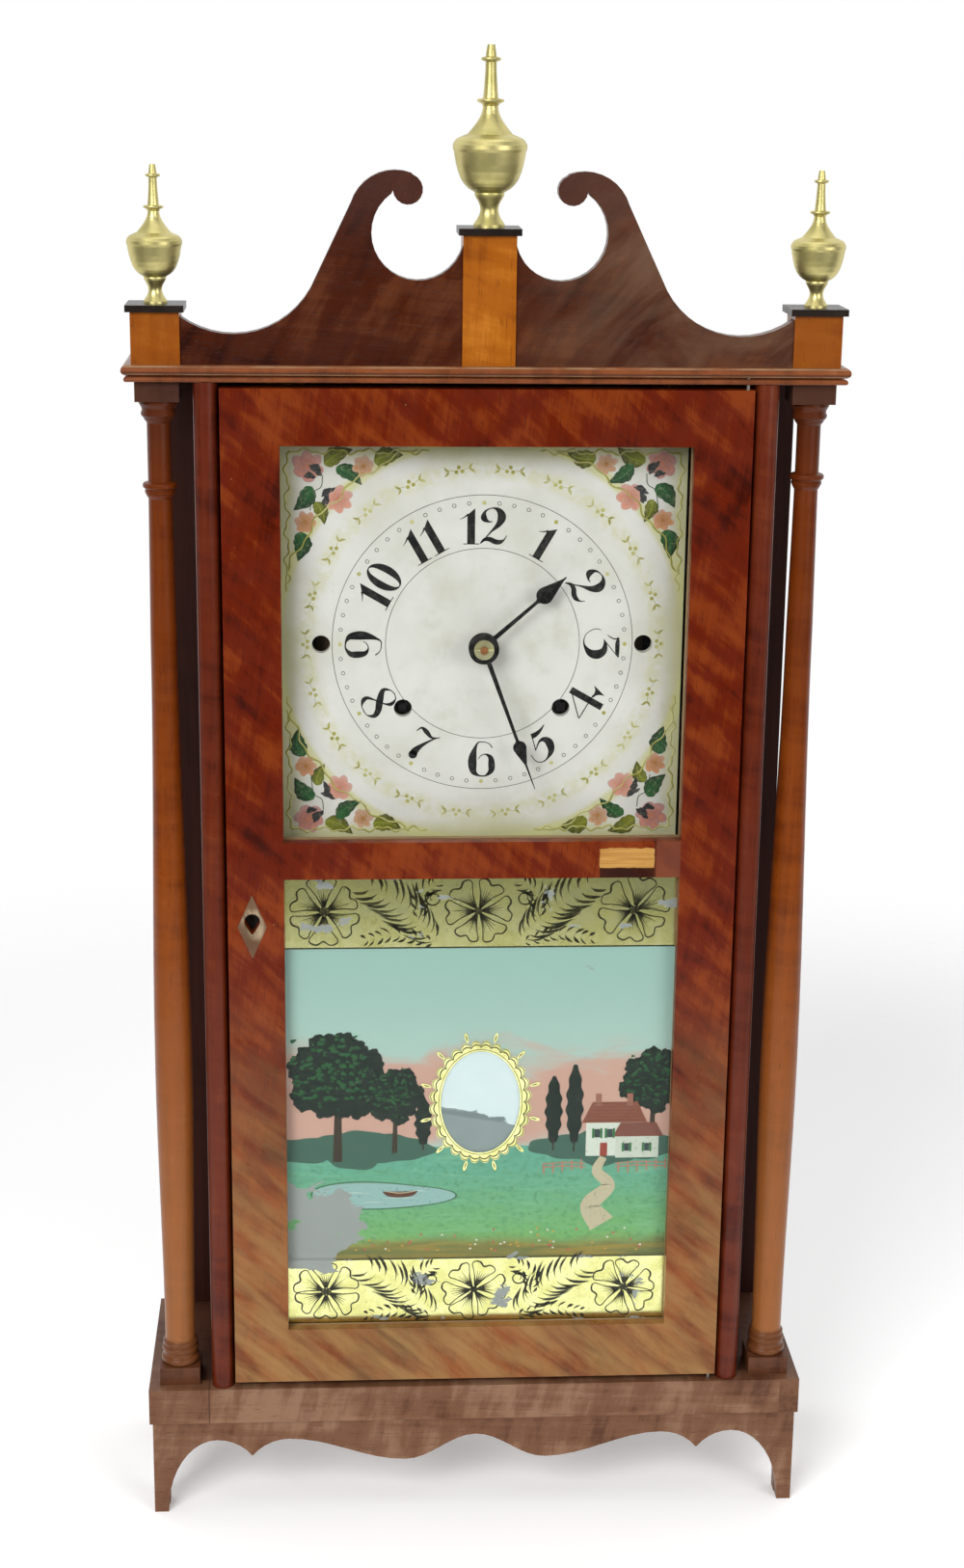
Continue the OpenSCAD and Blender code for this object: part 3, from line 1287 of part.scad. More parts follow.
// Cast bell with its mouth to the front, on a post from the backboard
module bell() color("darkkhaki") {
  bell_back = hammer_y - 4 + bell_d;
  translate([bell_at[0], hammer_y - 4, dial_z + bell_at[1]]) rotate([-90, 0, 0]) rotate_extrude($fn = 64)
    polygon(concat(bow([0, bell_d], [bell_r, 0], 10),
      turn_round(bow([0, bell_d - bell_t], [bell_r - bell_t, 0], 10))));
  bar_y(bell_at, bell_back - 1, board_y, 3);
}

// Driving weights, pulleys and lines

module pulley(side) translate([side * pulley_x, line_y, pulley_z]) rotate([90, 0, 0]) rotate_extrude($fn = 64)
  polygon([[pivot_r + run_gap, -pulley_t / 2], [pulley_r + groove_d, -pulley_t / 2],
    [pulley_r + groove_d, -line_r - 0.6], [pulley_r, -line_r - 0.2], [pulley_r, line_r + 0.2],
    [pulley_r + groove_d, line_r + 0.6], [pulley_r + groove_d, pulley_t / 2],
    [pivot_r + run_gap, pulley_t / 2]]);

module time_pulley() color("tan") pulley(1);

module strike_pulley() color("tan") pulley(-1);

// Iron weight with a wire eye in its top
module driving_weight(side) {
  block([side * bay_x - weight_w / 2, line_y - weight_d / 2, weight_z],
    [side * bay_x + weight_w / 2, line_y + weight_d / 2, weight_z + weight_h]);
  translate([side * bay_x, line_y, weight_z + weight_h + weight_eye_r]) rotate([90, 0, 0])
    rotate_extrude() translate([weight_eye_r, 0]) circle(pin_r);
}

module time_weight() color("dimgray") driving_weight(1);

module strike_weight() color("dimgray") driving_weight(-1);

// Lines from the drums up to the pulleys and over them
module line_runs() color("wheat") both_sides() {
  translate([great[0] + wrap_r * sin(run_dir), line_y, dial_z + great[1] - wrap_r * cos(run_dir)])
    rotate([0, 90 - run_dir, 0]) cylinder(h = run_len + 0.8, r = line_r - seat_gap);
  translate([pulley_x, line_y, pulley_z]) rotate([90, 0, 0])
    rotate_extrude(angle = run_dir + 90) translate([groove_r, 0]) circle(line_r);
}

module weight_line(side) translate([side * bay_x, line_y, eye_top])
  cylinder(h = pulley_z - eye_top, r = line_r);

module time_weight_line() color("wheat") weight_line(1);

module strike_weight_line() color("wheat") weight_line(-1);

shelf_board();
front_base_rail();
side_base_rails();
front_skirt();
side_skirts();
glue_blocks();
backboard();
case_sides();
front_stiles();
top_board();
cornice_moulding();
weight_partitions();
plinths();
plinth_caps();
scroll_boards();
centre_finial();
side_finials();
columns();
column_blocks();
door_left_stile();
door_right_stile();
door_top_rail();
door_middle_rail();
door_bottom_rail();
dial_glass();
tablet_glass();
glass_beads();
keyhole_plate();
lock_case();
lock_bolt();
wire_pins();
dial_board();
hour_hand();
minute_hand();
hand_collet();
movement_frame();
time_great_wheel();
time_drum();
center_wheel();
third_wheel();
escape_wheel();
minute_wheel();
hour_wheel();
verge();
pendulum_rod();
pendulum_bob();
strike_great_wheel();
strike_drum();
pin_wheel();
hoop_wheel();
fly();
hammer();
bell();
time_pulley();
strike_pulley();
time_weight();
strike_weight();
line_runs();
time_weight_line();
strike_weight_line();
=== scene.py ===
"""Looks of a pillar and scroll shelf clock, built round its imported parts.

Lengths are in metres, in the parts' own frame: the front faces -Y and +Z is up.
"""

import bpy
import numpy as np
from mathutils import Euler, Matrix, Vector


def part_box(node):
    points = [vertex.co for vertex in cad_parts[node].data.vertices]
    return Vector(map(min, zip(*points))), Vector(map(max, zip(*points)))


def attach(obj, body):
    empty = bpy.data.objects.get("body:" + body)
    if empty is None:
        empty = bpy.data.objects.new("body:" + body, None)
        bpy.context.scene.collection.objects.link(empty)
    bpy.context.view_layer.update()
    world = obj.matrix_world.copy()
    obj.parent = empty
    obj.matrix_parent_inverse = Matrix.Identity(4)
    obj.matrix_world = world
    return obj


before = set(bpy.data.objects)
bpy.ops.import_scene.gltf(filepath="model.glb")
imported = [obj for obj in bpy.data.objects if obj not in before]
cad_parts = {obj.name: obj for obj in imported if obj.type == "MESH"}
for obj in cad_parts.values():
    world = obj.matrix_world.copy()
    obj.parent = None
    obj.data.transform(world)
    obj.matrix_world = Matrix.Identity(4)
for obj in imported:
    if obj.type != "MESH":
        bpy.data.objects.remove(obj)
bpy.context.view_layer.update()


# The studio: the camera stands an arm's length in front and looks down on the clock, as in the
# photograph. The floor is a white card that fades out, and the lamps are large and soft.
camera = bpy.data.objects.new("camera", bpy.data.cameras.new("camera"))
camera.data.lens = 57.92
camera.data.sensor_width = 36
camera.location = (-0.0960, -1.6036, 0.9667)
camera.rotation_euler = Euler(np.radians((73.865, -0.677, -3.331)))
bpy.context.scene.collection.objects.link(camera)
bpy.context.scene.camera = camera
bpy.context.scene.view_settings.view_transform = "Standard"


class Wire:
    """A node's output. Sums of it add Math nodes, so shader maths reads as Python."""

    def __init__(self, tree, out=None):
        self.tree = tree
        self.out = out

    def add(self, kind, sockets=None, out=0, stops=(), **settings):
        """Adds any node: its settings first, then the values or links of its sockets."""
        made = self.tree.nodes.new("ShaderNode" + kind)
        for name, value in settings.items():
            setattr(made, name, value)
        for i, (stop, colour) in enumerate(stops):
            if i > 1:
                made.color_ramp.elements.new(stop)
            made.color_ramp.elements[i].position = stop
            made.color_ramp.elements[i].color = colour
        for key, value in (sockets or {}).items():
            if isinstance(value, Wire):
                self.tree.links.new(value.out, made.inputs[key])
            else:
                made.inputs[key].default_value = value
        return Wire(self.tree, made.outputs[out] if made.outputs else None)

    def maths(self, operation, *others):
        """One Math node of this number and the others."""
        return self.add("Math", dict(enumerate((self, *others))), operation=operation)

    def __add__(self, other):
        return self.maths("ADD", other)

    def __sub__(self, other):
        return self.maths("SUBTRACT", other)

    def __rsub__(self, other):
        return self * -1.0 + other

    def __mul__(self, other):
        return self.maths("MULTIPLY", other)

    def __pow__(self, other):
        return self.maths("POWER", other)

    def __neg__(self):
        return self * -1.0

    def __abs__(self):
        return self.maths("ABSOLUTE")

    __radd__ = __add__
    __rmul__ = __mul__

    def over(self, low, high=None):
        """0 below low and 1 above high, with a soft step between them; one number makes it sharp."""
        if high is None:
            return self.maths("GREATER_THAN", self, low)
        ends = {"Value": self, "From Min": low, "From Max": high}
        return self.add("MapRange", ends, interpolation_type="SMOOTHSTEP")

    def within(self, low, high, soft):
        """1 between low and high, fading to 0 across a soft edge."""
        return self.over(low - soft, low + soft) * (1 - self.over(high - soft, high + soft))

    def axes(self):
        """The three numbers of a place."""
        return [self.add("SeparateXYZ", {0: self}, out=i) for i in range(3)]

    def noise(self, size, detail=4.0, rough=0.55, twist=0.0, tilt=0.0, shift=(0, 0, 0)):
        """Noise of a place; size is how far apart it changes along X, Y and Z, turned about Y by tilt."""
        size = np.broadcast_to(size, 3).tolist()
        sockets = {"Vector": self, "Scale": size, "Rotation": (0, tilt, 0), "Location": shift}
        where = self.add("Mapping", sockets, vector_type="TEXTURE")
        sockets = {"Vector": where, "Scale": 1.0, "Detail": detail, "Roughness": rough, "Distortion": twist}
        return self.add("TexNoise", sockets)

    def tint(self, one, other):
        """From one colour to the other as this number goes from 0 to 1."""
        return self.add("Mix", {0: self, 6: one, 7: other}, out=2, data_type="RGBA")


def rgb(red, green, blue):
    """A colour for a socket."""
    return (red, green, blue, 1.0)


def scaled(colour, factor):
    """A colour, lighter or darker."""
    return rgb(*(factor * np.array(colour[:3])))


def begin(name):
    """A new material, and the place on the object as the start of its shader maths."""
    material = bpy.data.materials.new(name)
    material.use_nodes = True
    material.node_tree.nodes.clear()
    return material, Wire(material.node_tree).add("TexCoord", out="Object")


def finish(place, colour, rough, relief=None, depth=0.0, more=()):
    """Ends a material in one Principled shader; relief is its bump, and more its other sockets."""
    sockets = {"Base Color": colour, "Roughness": rough, **dict(more)}
    if relief is not None:
        sockets["Normal"] = place.add("Bump", {"Height": relief, "Distance": depth, "Strength": 1.0})
    place.add("OutputMaterial", {0: place.add("BsdfPrincipled", sockets)})


def make(name, grids, material, front=None, paint=None):
    """One mesh from grids of points (rows, columns, 3), each turned over where it faces away from front.

    paint is a colour for each grid, or for each point of it, kept as the attribute paint.
    """
    points, faces, colours, count = [], [], [], 0
    for i, grid in enumerate(grids):
        grid = np.asarray(grid, float)
        tone = np.broadcast_to(paint[i], grid.shape) if paint else None
        if front is not None:
            down = np.gradient(grid, axis=0)
            along = np.gradient(grid, axis=1)
            if np.cross(along, down).sum((0, 1)) @ np.array(front, float) < 0:
                grid = grid[::-1]
                tone = tone[::-1] if paint else None
        rows, columns = grid.shape[:2]
        corner = count + np.arange(rows - 1)[:, None] * columns + np.arange(columns - 1)
        ring = [corner, corner + 1, corner + columns + 1, corner + columns]
        faces.append(np.stack(ring[::-1], -1).reshape(-1, 4))
        points.append(grid.reshape(-1, 3))
        count += len(points[-1])
        if paint:
            colours.append(tone.reshape(-1, 3))
    mesh = bpy.data.meshes.new(name)
    mesh.from_pydata(np.concatenate(points).tolist(), [], np.concatenate(faces).tolist())
    if paint:
        colours = np.concatenate(colours)
        layer = mesh.color_attributes.new("paint", "FLOAT_COLOR", "POINT")
        layer.data.foreach_set("color", np.concatenate([colours, np.ones((count, 1))], 1).ravel())
    mesh.materials.append(material)
    mesh.shade_smooth()
    made = bpy.data.objects.new(name, mesh)
    bpy.context.scene.collection.objects.link(made)
    return made


floor_r = 1.45
turn = np.linspace(0, 2 * np.pi, 97)
reach = np.linspace(0, floor_r, 9)[:, None]
card, place = begin("white_card")
x, y, _ = place.axes()
grit = place.noise(0.01, 3)
fade = 1 - ((x * x + y * y) ** 0.5).over(0.55 * floor_r, 0.98 * floor_r)
pale = grit.tint(rgb(0.94, 0.94, 0.94), rgb(0.97, 0.97, 0.97))
finish(place, pale, 0.9, more={"Alpha": fade, "Emission Color": pale, "Emission Strength": 0.16})
disc = np.stack([reach * np.cos(turn), reach * np.sin(turn), 0 * reach * turn], -1)
make("floor", [disc], card, front=(0, 0, 1))

world = bpy.data.worlds.new("white_room")
bpy.context.scene.world = world
world.use_nodes = True
world.node_tree.nodes.clear()
room = Wire(world.node_tree)
ahead = room.add("TexCoord", out="Generated").axes()[1]
direct, through, mirrored = (
    room.add("LightPath", out=f"Is {kind} Ray") for kind in ("Camera", "Transmission", "Glossy")
)
seen = direct.maths("MAXIMUM", through).maths("MAXIMUM", mirrored * ahead.over(-0.1, 0.3))
glow = ahead.over(-0.35, 0.35) * 0.80 + 0.06
room.add("OutputWorld", {0: room.add("Background", {0: rgb(1, 1, 1), 1: seen + (1 - seen) * glow})})


def lamp(name, at, to, size, watts):
    """A soft square lamp of that size that looks at a place."""
    light = bpy.data.lights.new(name, "AREA")
    light.energy = watts
    light.size = size
    made = bpy.data.objects.new(name, light)
    made.location = at
    x, y, z = np.subtract(to, at)
    made.rotation_euler = (np.arctan2(np.hypot(x, y), -z), 0, np.arctan2(-x, y))
    bpy.context.scene.collection.objects.link(made)


lamp("window", (-1.3, -2.3, 1.9), (0, 0, 0.5), 1.5, 69)
lamp("white_wall", (1.6, -2.0, 1.3), (0, 0, 0.5), 1.6, 30)
lamp("ceiling", (0, -0.4, 2.6), (0, 0, 0.5), 1.8, 12)


# The base: a shelf on rails with a shaped skirt and bracket feet, all of softwood veneered in
# mahogany and glued up from the inside with rubbed blocks. The polish is thin and hazy here.
def wear(name, material):
    """A part keeps its shape and gets this material."""
    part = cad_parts[name]
    part.data.materials.clear()
    part.data.materials.append(material)


def stretched(along, across, length):
    """The size of a grain along X, Y and Z, long on the one axis and short on the others."""
    return tuple(length if axis == along else across for axis in range(3))


def figured(place, along, tones, figure=1.0, tilt=0.0, shift=(0, 0, 0)):
    """Colour and grain of polished veneer: long fibres, flames across them, and dark pores."""
    dark, middle, light = (rgb(*tone) for tone in tones)
    fibre = place.noise(stretched(along, 0.0045, 0.15), 6, 0.62, 0.4, tilt * 0.2, shift)
    flame = place.noise(stretched(along, 0.055, 0.012), 5, 0.6, 0.3, tilt, shift)
    cloud = place.noise(stretched(along, 0.05, 0.10), 3, 0.5, 0.5, tilt, shift)
    pore = place.noise(stretched(along, 0.0006, 0.012), 2, 0.5, shift=shift)
    value = fibre * 0.40 + (flame * 0.80 + cloud * 0.80) * figure - (0.03 + 0.63 * figure)
    value = value.over(-0.05, 0.70)
    colour = value.over(0.0, 0.5).tint(dark, middle)
    colour = value.over(0.5, 1.0).tint(colour, light)
    colour = ((1 - pore.over(0.30, 0.37)) * 0.5).tint(colour, scaled(dark, 0.3))
    return colour, fibre * 0.7 + pore.over(0.30, 0.37)


def polish(place, colour, grain, rough=0.34, haze_and_sheen=0.16):
    """Old shellac over wood: a worn gloss that changes from place to place."""
    worn = place.noise(0.03, 5, 0.62)
    coat = {"Coat Weight": worn.over(0.25, 0.6) * 0.16, "Coat Roughness": 0.24, "Specular IOR Level": 0.16}
    finish(place, colour, worn * haze_and_sheen * 2 + (rough - haze_and_sheen), grain, 0.00004, coat)


def veneer(name, along, tones, figure=1.0, tilt=0.0, shift=(0, 0, 0), rough=0.34, more=None):
    """A material of one sheet of veneer; more adds what is special about its place."""
    material, place = begin(name)
    colour, grain = figured(place, along, tones, figure, tilt, shift)
    if more:
        colour = more(place, colour)
    polish(place, colour, grain, rough)
    return material


def rail_seams(place, colour):
    """The veneer's joint near the left end, and worn lower edges."""
    x, _, z = place.axes()
    seam = x.within(-0.1821, -0.1815, 0.0003)
    edge = z.within(0.0, 0.0715, 0.002) * place.noise((0.02, 0.02, 0.004), 4).over(0.45, 0.7)
    colour = (edge * 0.5).tint(colour, rgb(0.26, 0.13, 0.07))
    return (seam * 0.9).tint(colour, rgb(0.012, 0.004, 0.002))


rail_tones = ((0.080, 0.028, 0.013), (0.155, 0.068, 0.034), (0.240, 0.130, 0.076))
wear("front_base_rail", veneer("rail_veneer", 0, rail_tones, 1.2, 0.25, rough=0.42, more=rail_seams))
wear("side_base_rails", veneer("side_rail_veneer", 1, rail_tones, 0.8, rough=0.42))
wear("front_skirt", veneer("skirt_veneer", 0, rail_tones, 1.2, 0.2, (0.4, 0, 0.7), 0.45))
wear("side_skirts", veneer("side_skirt_veneer", 1, rail_tones, 0.8, 0, (0.4, 0, 0.7), 0.45))
shelf_tones = ((0.045, 0.016, 0.009), (0.085, 0.032, 0.017), (0.14, 0.06, 0.032))
wear("shelf_board", veneer("shelf_wood", 0, shelf_tones, 0.5, rough=0.5))


def softwood(name, along, early, late, rough=0.62, shift=(0, 0, 0)):
    """Planed softwood: rings cut lengthways as long bands, with fine fibres and dirt."""
    material, place = begin(name)
    rings = place.noise(stretched(along, 0.014, 0.45), 3, 0.5, 0.6, shift=shift)
    fibres = place.noise(stretched(along, 0.0011, 0.045), 3, 0.6, shift=shift)
    dirt = place.noise(0.07, 5, 0.65, shift=shift)
    colour = (rings * 0.8 + fibres * 0.35 - 0.1).over(0.2, 0.75).tint(rgb(*early), rgb(*late))
    colour = (dirt.over(0.45, 0.8) * 0.5).tint(colour, scaled(late, 0.35))
    finish(place, colour, fibres * 0.2 + (rough - 0.1), fibres, 0.00006, {"Specular IOR Level": 0.15})
    return material


pine = softwood("pine", 0, (0.46, 0.31, 0.17), (0.30, 0.17, 0.08))
wear("glue_blocks", pine)


# The case: two sides and a wide backboard under a top board, with a half-round stile beside the
# door on each side and a mitred moulding of two reeds round the top.
case_tones = ((0.014, 0.003, 0.002), (0.036, 0.009, 0.005), (0.080, 0.020, 0.009))
wear("backboard", softwood("backboard_wood", 2, (0.036, 0.008, 0.004), (0.016, 0.003, 0.0015), 0.66))
wear("case_sides", veneer("case_side_veneer", 2, case_tones, 0.8, rough=0.45))
stile_tones = ((0.052, 0.006, 0.002), (0.115, 0.017, 0.005), (0.175, 0.036, 0.010))
wear("front_stiles", veneer("stile_wood", 2, stile_tones, 0.7, 0.2, rough=0.33))
wear("top_board", veneer("top_board_wood", 0, case_tones, 0.6, rough=0.55))


def dark_quirk(place, colour):
    """Painted glints along the tops of the two reeds, and a dark line in the groove between them."""
    z = place.axes()[2]
    # Painted highlight: paler glints along the tops of the two reeds, broken up by noise.
    rubbed_and_glint = z.within(0.7832, 0.7841, 0.0004) + z.within(0.7786, 0.7792, 0.0003)
    rubbed_and_glint = rubbed_and_glint * place.noise((0.03, 0.03, 0.01), 4).over(0.3, 0.6)
    colour = (rubbed_and_glint * 0.7).tint(colour, rgb(0.36, 0.24, 0.13))
    return (z.within(0.7795, 0.7803, 0.0004) * 0.8).tint(colour, rgb(0.012, 0.004, 0.003))


cornice_tones = ((0.100, 0.026, 0.008), (0.220, 0.062, 0.019), (0.350, 0.130, 0.046))
wear("cornice_moulding", veneer("cornice_wood", 0, cornice_tones, 0.6, rough=0.30, more=dark_quirk))


# The pillars: turned cherry shafts that taper up from a ringed foot to a ring and a stepped
# capital, light on the shaft and dark in the turned hollows. Each stands in two square blocks.
def turned_wear(place, colour):
    """Dirt and old stain in the rings of the foot and the capital, and a paler lower shaft."""
    x, _, z = place.axes()
    low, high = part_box("columns")
    up = z - x.over(0.0) * 0.0064
    rings = 1 - z.over(low.z + 0.016, low.z + 0.019) + up.over(0.692, high.z - 0.014)
    lower = (1 - z.over(0.14, 0.50)) * 0.4
    colour = lower.tint(colour, rgb(0.37, 0.17, 0.055))
    colour = (up.over(0.45, 0.70) * 0.5).tint(colour, rgb(0.075, 0.010, 0.002))
    return (rings * 0.6).tint(colour, rgb(0.05, 0.012, 0.005))


pillar_tones = ((0.115, 0.020, 0.002), (0.215, 0.045, 0.004), (0.310, 0.090, 0.013))
wear("columns", veneer("pillar_wood", 2, pillar_tones, 0.55, 0.1, rough=0.33, more=turned_wear))


def dark_up_high(place, colour):
    """The cap blocks have kept their dark old polish, and the foot blocks have lost it."""
    return (place.axes()[2].over(0.3, 0.6) * 0.65).tint(colour, rgb(0.040, 0.014, 0.010))


block_tones = ((0.050, 0.014, 0.006), (0.110, 0.038, 0.016), (0.180, 0.075, 0.034))
wear("column_blocks", veneer("block_wood", 0, block_tones, 0.7, rough=0.42, more=dark_up_high))


# The crest: two scroll boards of figured mahogany let in between three plinths, which are faced
# with a light figured veneer and covered by thin dark caps. Each cap takes a finial's stud.
def burnt_scroll(place, colour):
    """Blackened polish at the curls, and a greyer right half."""
    x, _, z = place.axes()
    feather = place.noise((0.05, 0.05, 0.12), 4, 0.6, 1.5, 0.7)
    colour = (x.over(-0.02, 0.14) * feather.over(0.25, 0.7) * 0.7).tint(colour, rgb(0.20, 0.115, 0.070))
    return (z.over(0.845, 0.895) * 0.65).tint(colour, rgb(0.060, 0.024, 0.018))


scroll_tones = ((0.022, 0.003, 0.001), (0.052, 0.009, 0.002), (0.100, 0.026, 0.008))
wear("scroll_boards", veneer("scroll_veneer", 0, scroll_tones, 1.1, 0.5, rough=0.33, more=burnt_scroll))


def side_plinths_darker(place, colour):
    """The side plinths are redder than the middle one, and all have small dark specks."""
    x = place.axes()[0]
    speck = 1 - place.noise((0.0024, 0.0024, 0.0034), 3, 0.6).over(0.27, 0.33)
    colour = (abs(x).over(0.10, 0.12) * 0.5).tint(colour, rgb(0.17, 0.034, 0.004))
    return (speck * 0.6).tint(colour, rgb(0.05, 0.012, 0.004))


plinth_tones = ((0.19, 0.042, 0.003), (0.345, 0.096, 0.006), (0.49, 0.165, 0.016))
plinth_veneer = veneer("plinth_veneer", 2, plinth_tones, 0.9, 0.25, rough=0.28, more=side_plinths_darker)
wear("plinths", plinth_veneer)
cap_tones = ((0.006, 0.004, 0.003), (0.016, 0.010, 0.007), (0.040, 0.025, 0.016))
wear("plinth_caps", veneer("cap_wood", 0, cap_tones, 0.6, rough=0.32))


# The finials: urns turned from cast brass, worn bright on the bodies, with old lacquer left in
# the grooves and fine rings from the lathe.
def brass(name, light, dark, rough):
    """Old polished brass: tarnish in soft clouds, dark drops, and rings from turning."""
    material, place = begin(name)
    tarnish = place.noise(0.022, 5, 0.55)
    lathe = place.noise((0.25, 0.25, 0.0004), 2, 0.5)
    drops = 1 - place.noise(0.004, 3, 0.6).over(0.22, 0.30)
    colour = tarnish.over(0.35, 0.7).tint(rgb(*light), rgb(*dark))
    colour = (drops * 0.6).tint(colour, scaled(dark, 0.3))
    skin = tarnish * 0.25 + lathe * 0.08 + (rough - 0.15)
    finish(place, colour, skin, lathe * 0.5 + tarnish * 0.3, 0.00001, {"Metallic": 1.0})
    return material


old_brass = brass("old_brass", (0.68, 0.60, 0.26), (0.46, 0.41, 0.15), 0.42)
wear("centre_finial", old_brass)
wear("side_finials", old_brass)


# The door: five pieces of softwood under dark crotch veneer, mitred across the corners and worn
# through at the right of the middle rail. It hangs on two wire pins at its right edge.
pane_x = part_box("door_top_rail")[1].x
door_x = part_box("door_right_stile")[1].x
door_low, door_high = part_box("door_left_stile")[0].z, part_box("door_left_stile")[1].z
pane_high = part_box("door_top_rail")[0].z
tablet_low, tablet_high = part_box("door_bottom_rail")[1].z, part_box("door_middle_rail")[0].z


def mitre(x, z):
    """Above 0 on the rails' side of the four mitres and below it on the stiles, in metres."""
    beside = abs(x) - pane_x
    upper = (z - pane_high) * ((door_x - pane_x) / (door_high - pane_high)) - beside
    lower = (tablet_low - z) * ((door_x - pane_x) / (tablet_low - door_low)) - beside
    return upper.maths("MAXIMUM", lower).maths("MAXIMUM", -beside)


door_veneer, place = begin("door_veneer")
x, _, z = place.axes()
stile_side = ((0.038, 0.003, 0.0005), (0.115, 0.010, 0.001), (0.205, 0.034, 0.004))
rail_side = ((0.022, 0.002, 0.0003), (0.055, 0.005, 0.0007), (0.110, 0.015, 0.002))
across, grain_across = figured(place, 0, rail_side, 1.0, 0.35, (0.3, 0, 0))
upright, grain_up = figured(place, 2, stile_side, 1.2, 0.75)
side = mitre(x, z)
colour = side.over(0).tint(upright, across)
grain = grain_up + side.over(0) * (grain_across - grain_up)
# Painted reflection of the white floor: the lower door is lightened to a pale tan in patches, less on the
# rails.
haze_and_sheen = (1 - z.over(0.12, 0.42)) * place.noise((0.06, 0.03, 0.012), 5, 0.6, 0.2, 0.7).over(0.15, 0.75)
colour = (haze_and_sheen * (0.85 - side.over(0) * 0.15)).tint(colour, rgb(0.320, 0.180, 0.060))
corner = abs(x).over(pane_x) * side.within(-0.0003, 0.0003, 0.0002)
colour = (corner * 0.8).tint(colour, rgb(0.015, 0.004, 0.002))
wander = (place.noise(0.006, 3) - 0.5) * 0.003
loss_left, loss_right, crack_right, stile_edge = 0.0755, 0.1110, 0.1118, 0.1276
rail_low, loss_low, loss_high, rail_high = 0.4574, 0.4640, 0.4772, 0.4819
chipped = (x + wander).within(loss_left, loss_right, 0.0004)
lost = chipped * (z + wander).within(loss_low, loss_high, 0.0004)
bare = place.noise((0.03, 0.03, 0.0008), 3, 0.6).over(0.3, 0.7)
colour = lost.tint(colour, bare.tint(rgb(0.40, 0.19, 0.045), rgb(0.56, 0.31, 0.085)))
gap = chipped * z.within(rail_low, loss_low, 0.0004)
crack = x.within(loss_right, crack_right, 0.0003) * z.within(rail_low, rail_high, 0.0003)
colour = (gap.maths("MAXIMUM", crack) * 0.85).tint(colour, rgb(0.014, 0.005, 0.003))
rubbed_and_glint = x.within(crack_right, stile_edge, 0.001) * z.within(rail_low, rail_high, 0.001)
colour = (rubbed_and_glint * 0.55).tint(colour, rgb(0.165, 0.060, 0.035))
chips = 1 - place.noise((0.0035, 0.0035, 0.006), 3, 0.6).over(0.22, 0.25)
colour = (chips * 0.7).tint(colour, rgb(0.34, 0.17, 0.06))
polish(place, colour, grain - lost * 3.0, 0.32)
for name in ("left_stile", "right_stile", "top_rail", "middle_rail", "bottom_rail"):
    wear("door_" + name, door_veneer)
wear("glass_beads", pine)


# The keyhole plate and the lock: a worn lozenge of bone let into the stile, an iron box behind
# it, and a bolt that shoots into the case stile. The same drawn wire makes the door's pins.
bone, place = begin("worn_bone")
stain = place.noise((0.007, 0.007, 0.016), 5, 0.62)
crack = 1 - place.noise((0.0012, 0.0012, 0.02), 3).over(0.28, 0.34)
colour = stain.over(0.35, 0.65).tint(rgb(0.36, 0.26, 0.16), rgb(0.12, 0.070, 0.032))
plate_low, plate_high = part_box("keyhole_plate")
x, _, z = place.axes()
x, z = x - (plate_low.x + plate_high.x) / 2, (z - (plate_low.z + plate_high.z) / 2 - 0.001) * 0.72
grime = (x * x + z * z) ** 0.5 + (stain - 0.5) * 0.005
colour = (grime.over(0.0058, 0.0088) * 0.8).tint(colour, rgb(0.10, 0.036, 0.010))
colour = (crack * 0.7).tint(colour, rgb(0.03, 0.014, 0.008))
finish(place, colour, stain * 0.2 + 0.36, stain, 0.00006)
wear("keyhole_plate", bone)


def metal(name, light, dark, rough, size=0.006, depth=0.0002):
    """Dark or cast metal: a rough skin with paler rubbed places."""
    material, place = begin(name)
    skin = place.noise(size, 6, 0.65)
    pits = place.noise(size * 0.15, 3, 0.6)
    colour = skin.over(0.35, 0.7).tint(rgb(*dark), rgb(*light))
    finish(place, colour, pits * 0.25 + (rough - 0.12), skin + pits * 0.4, depth, {"Metallic": 0.85})
    return material


cast_iron = metal("cast_iron", (0.10, 0.09, 0.085), (0.035, 0.028, 0.025), 0.62)
drawn_wire = metal("drawn_wire", (0.48, 0.46, 0.43), (0.20, 0.17, 0.14), 0.38, 0.003, 0.00003)
wear("lock_case", cast_iron)
for name in ("lock_bolt", "wire_pins", "verge", "pendulum_rod"):
    wear(name, drawn_wire)


# The panes: thin old window glass, held in the door's rebates by the beads. It lets nearly all
# light through and has a faint mirror and a film of dust.
def glass(name):
    """Clear glass with a mirror that grows towards grazing angles, and a little dust."""
    material, place = begin(name)
    dust = place.noise((0.05, 0.05, 0.03), 5, 0.65).over(0.35, 0.85) * 0.008
    wave = place.noise((0.08, 0.08, 0.05), 2, 0.5)
    normal = place.add("Bump", {"Height": wave, "Distance": 0.0002, "Strength": 1.0})
    mirror = place.add("LayerWeight", {"Normal": normal}, out="Facing") ** 5.0 * 0.9 + 0.012
    clear = place.add("BsdfTransparent", {0: rgb(0.975, 0.985, 0.978)})
    shiny = {"Base Color": rgb(0.9, 0.92, 0.9), "Metallic": 1.0, "Roughness": 0.06, "Normal": normal}
    mixed = place.add("MixShader", {0: mirror, 1: clear, 2: place.add("BsdfPrincipled", shiny)})
    film = place.add("BsdfPrincipled", {"Base Color": rgb(0.72, 0.74, 0.71), "Roughness": 0.9})
    place.add("OutputMaterial", {0: place.add("MixShader", {0: dust, 1: mixed, 2: film})})
    return material


wear("dial_glass", glass("dial_pane_glass"))
wear("tablet_glass", glass("tablet_pane_glass"))


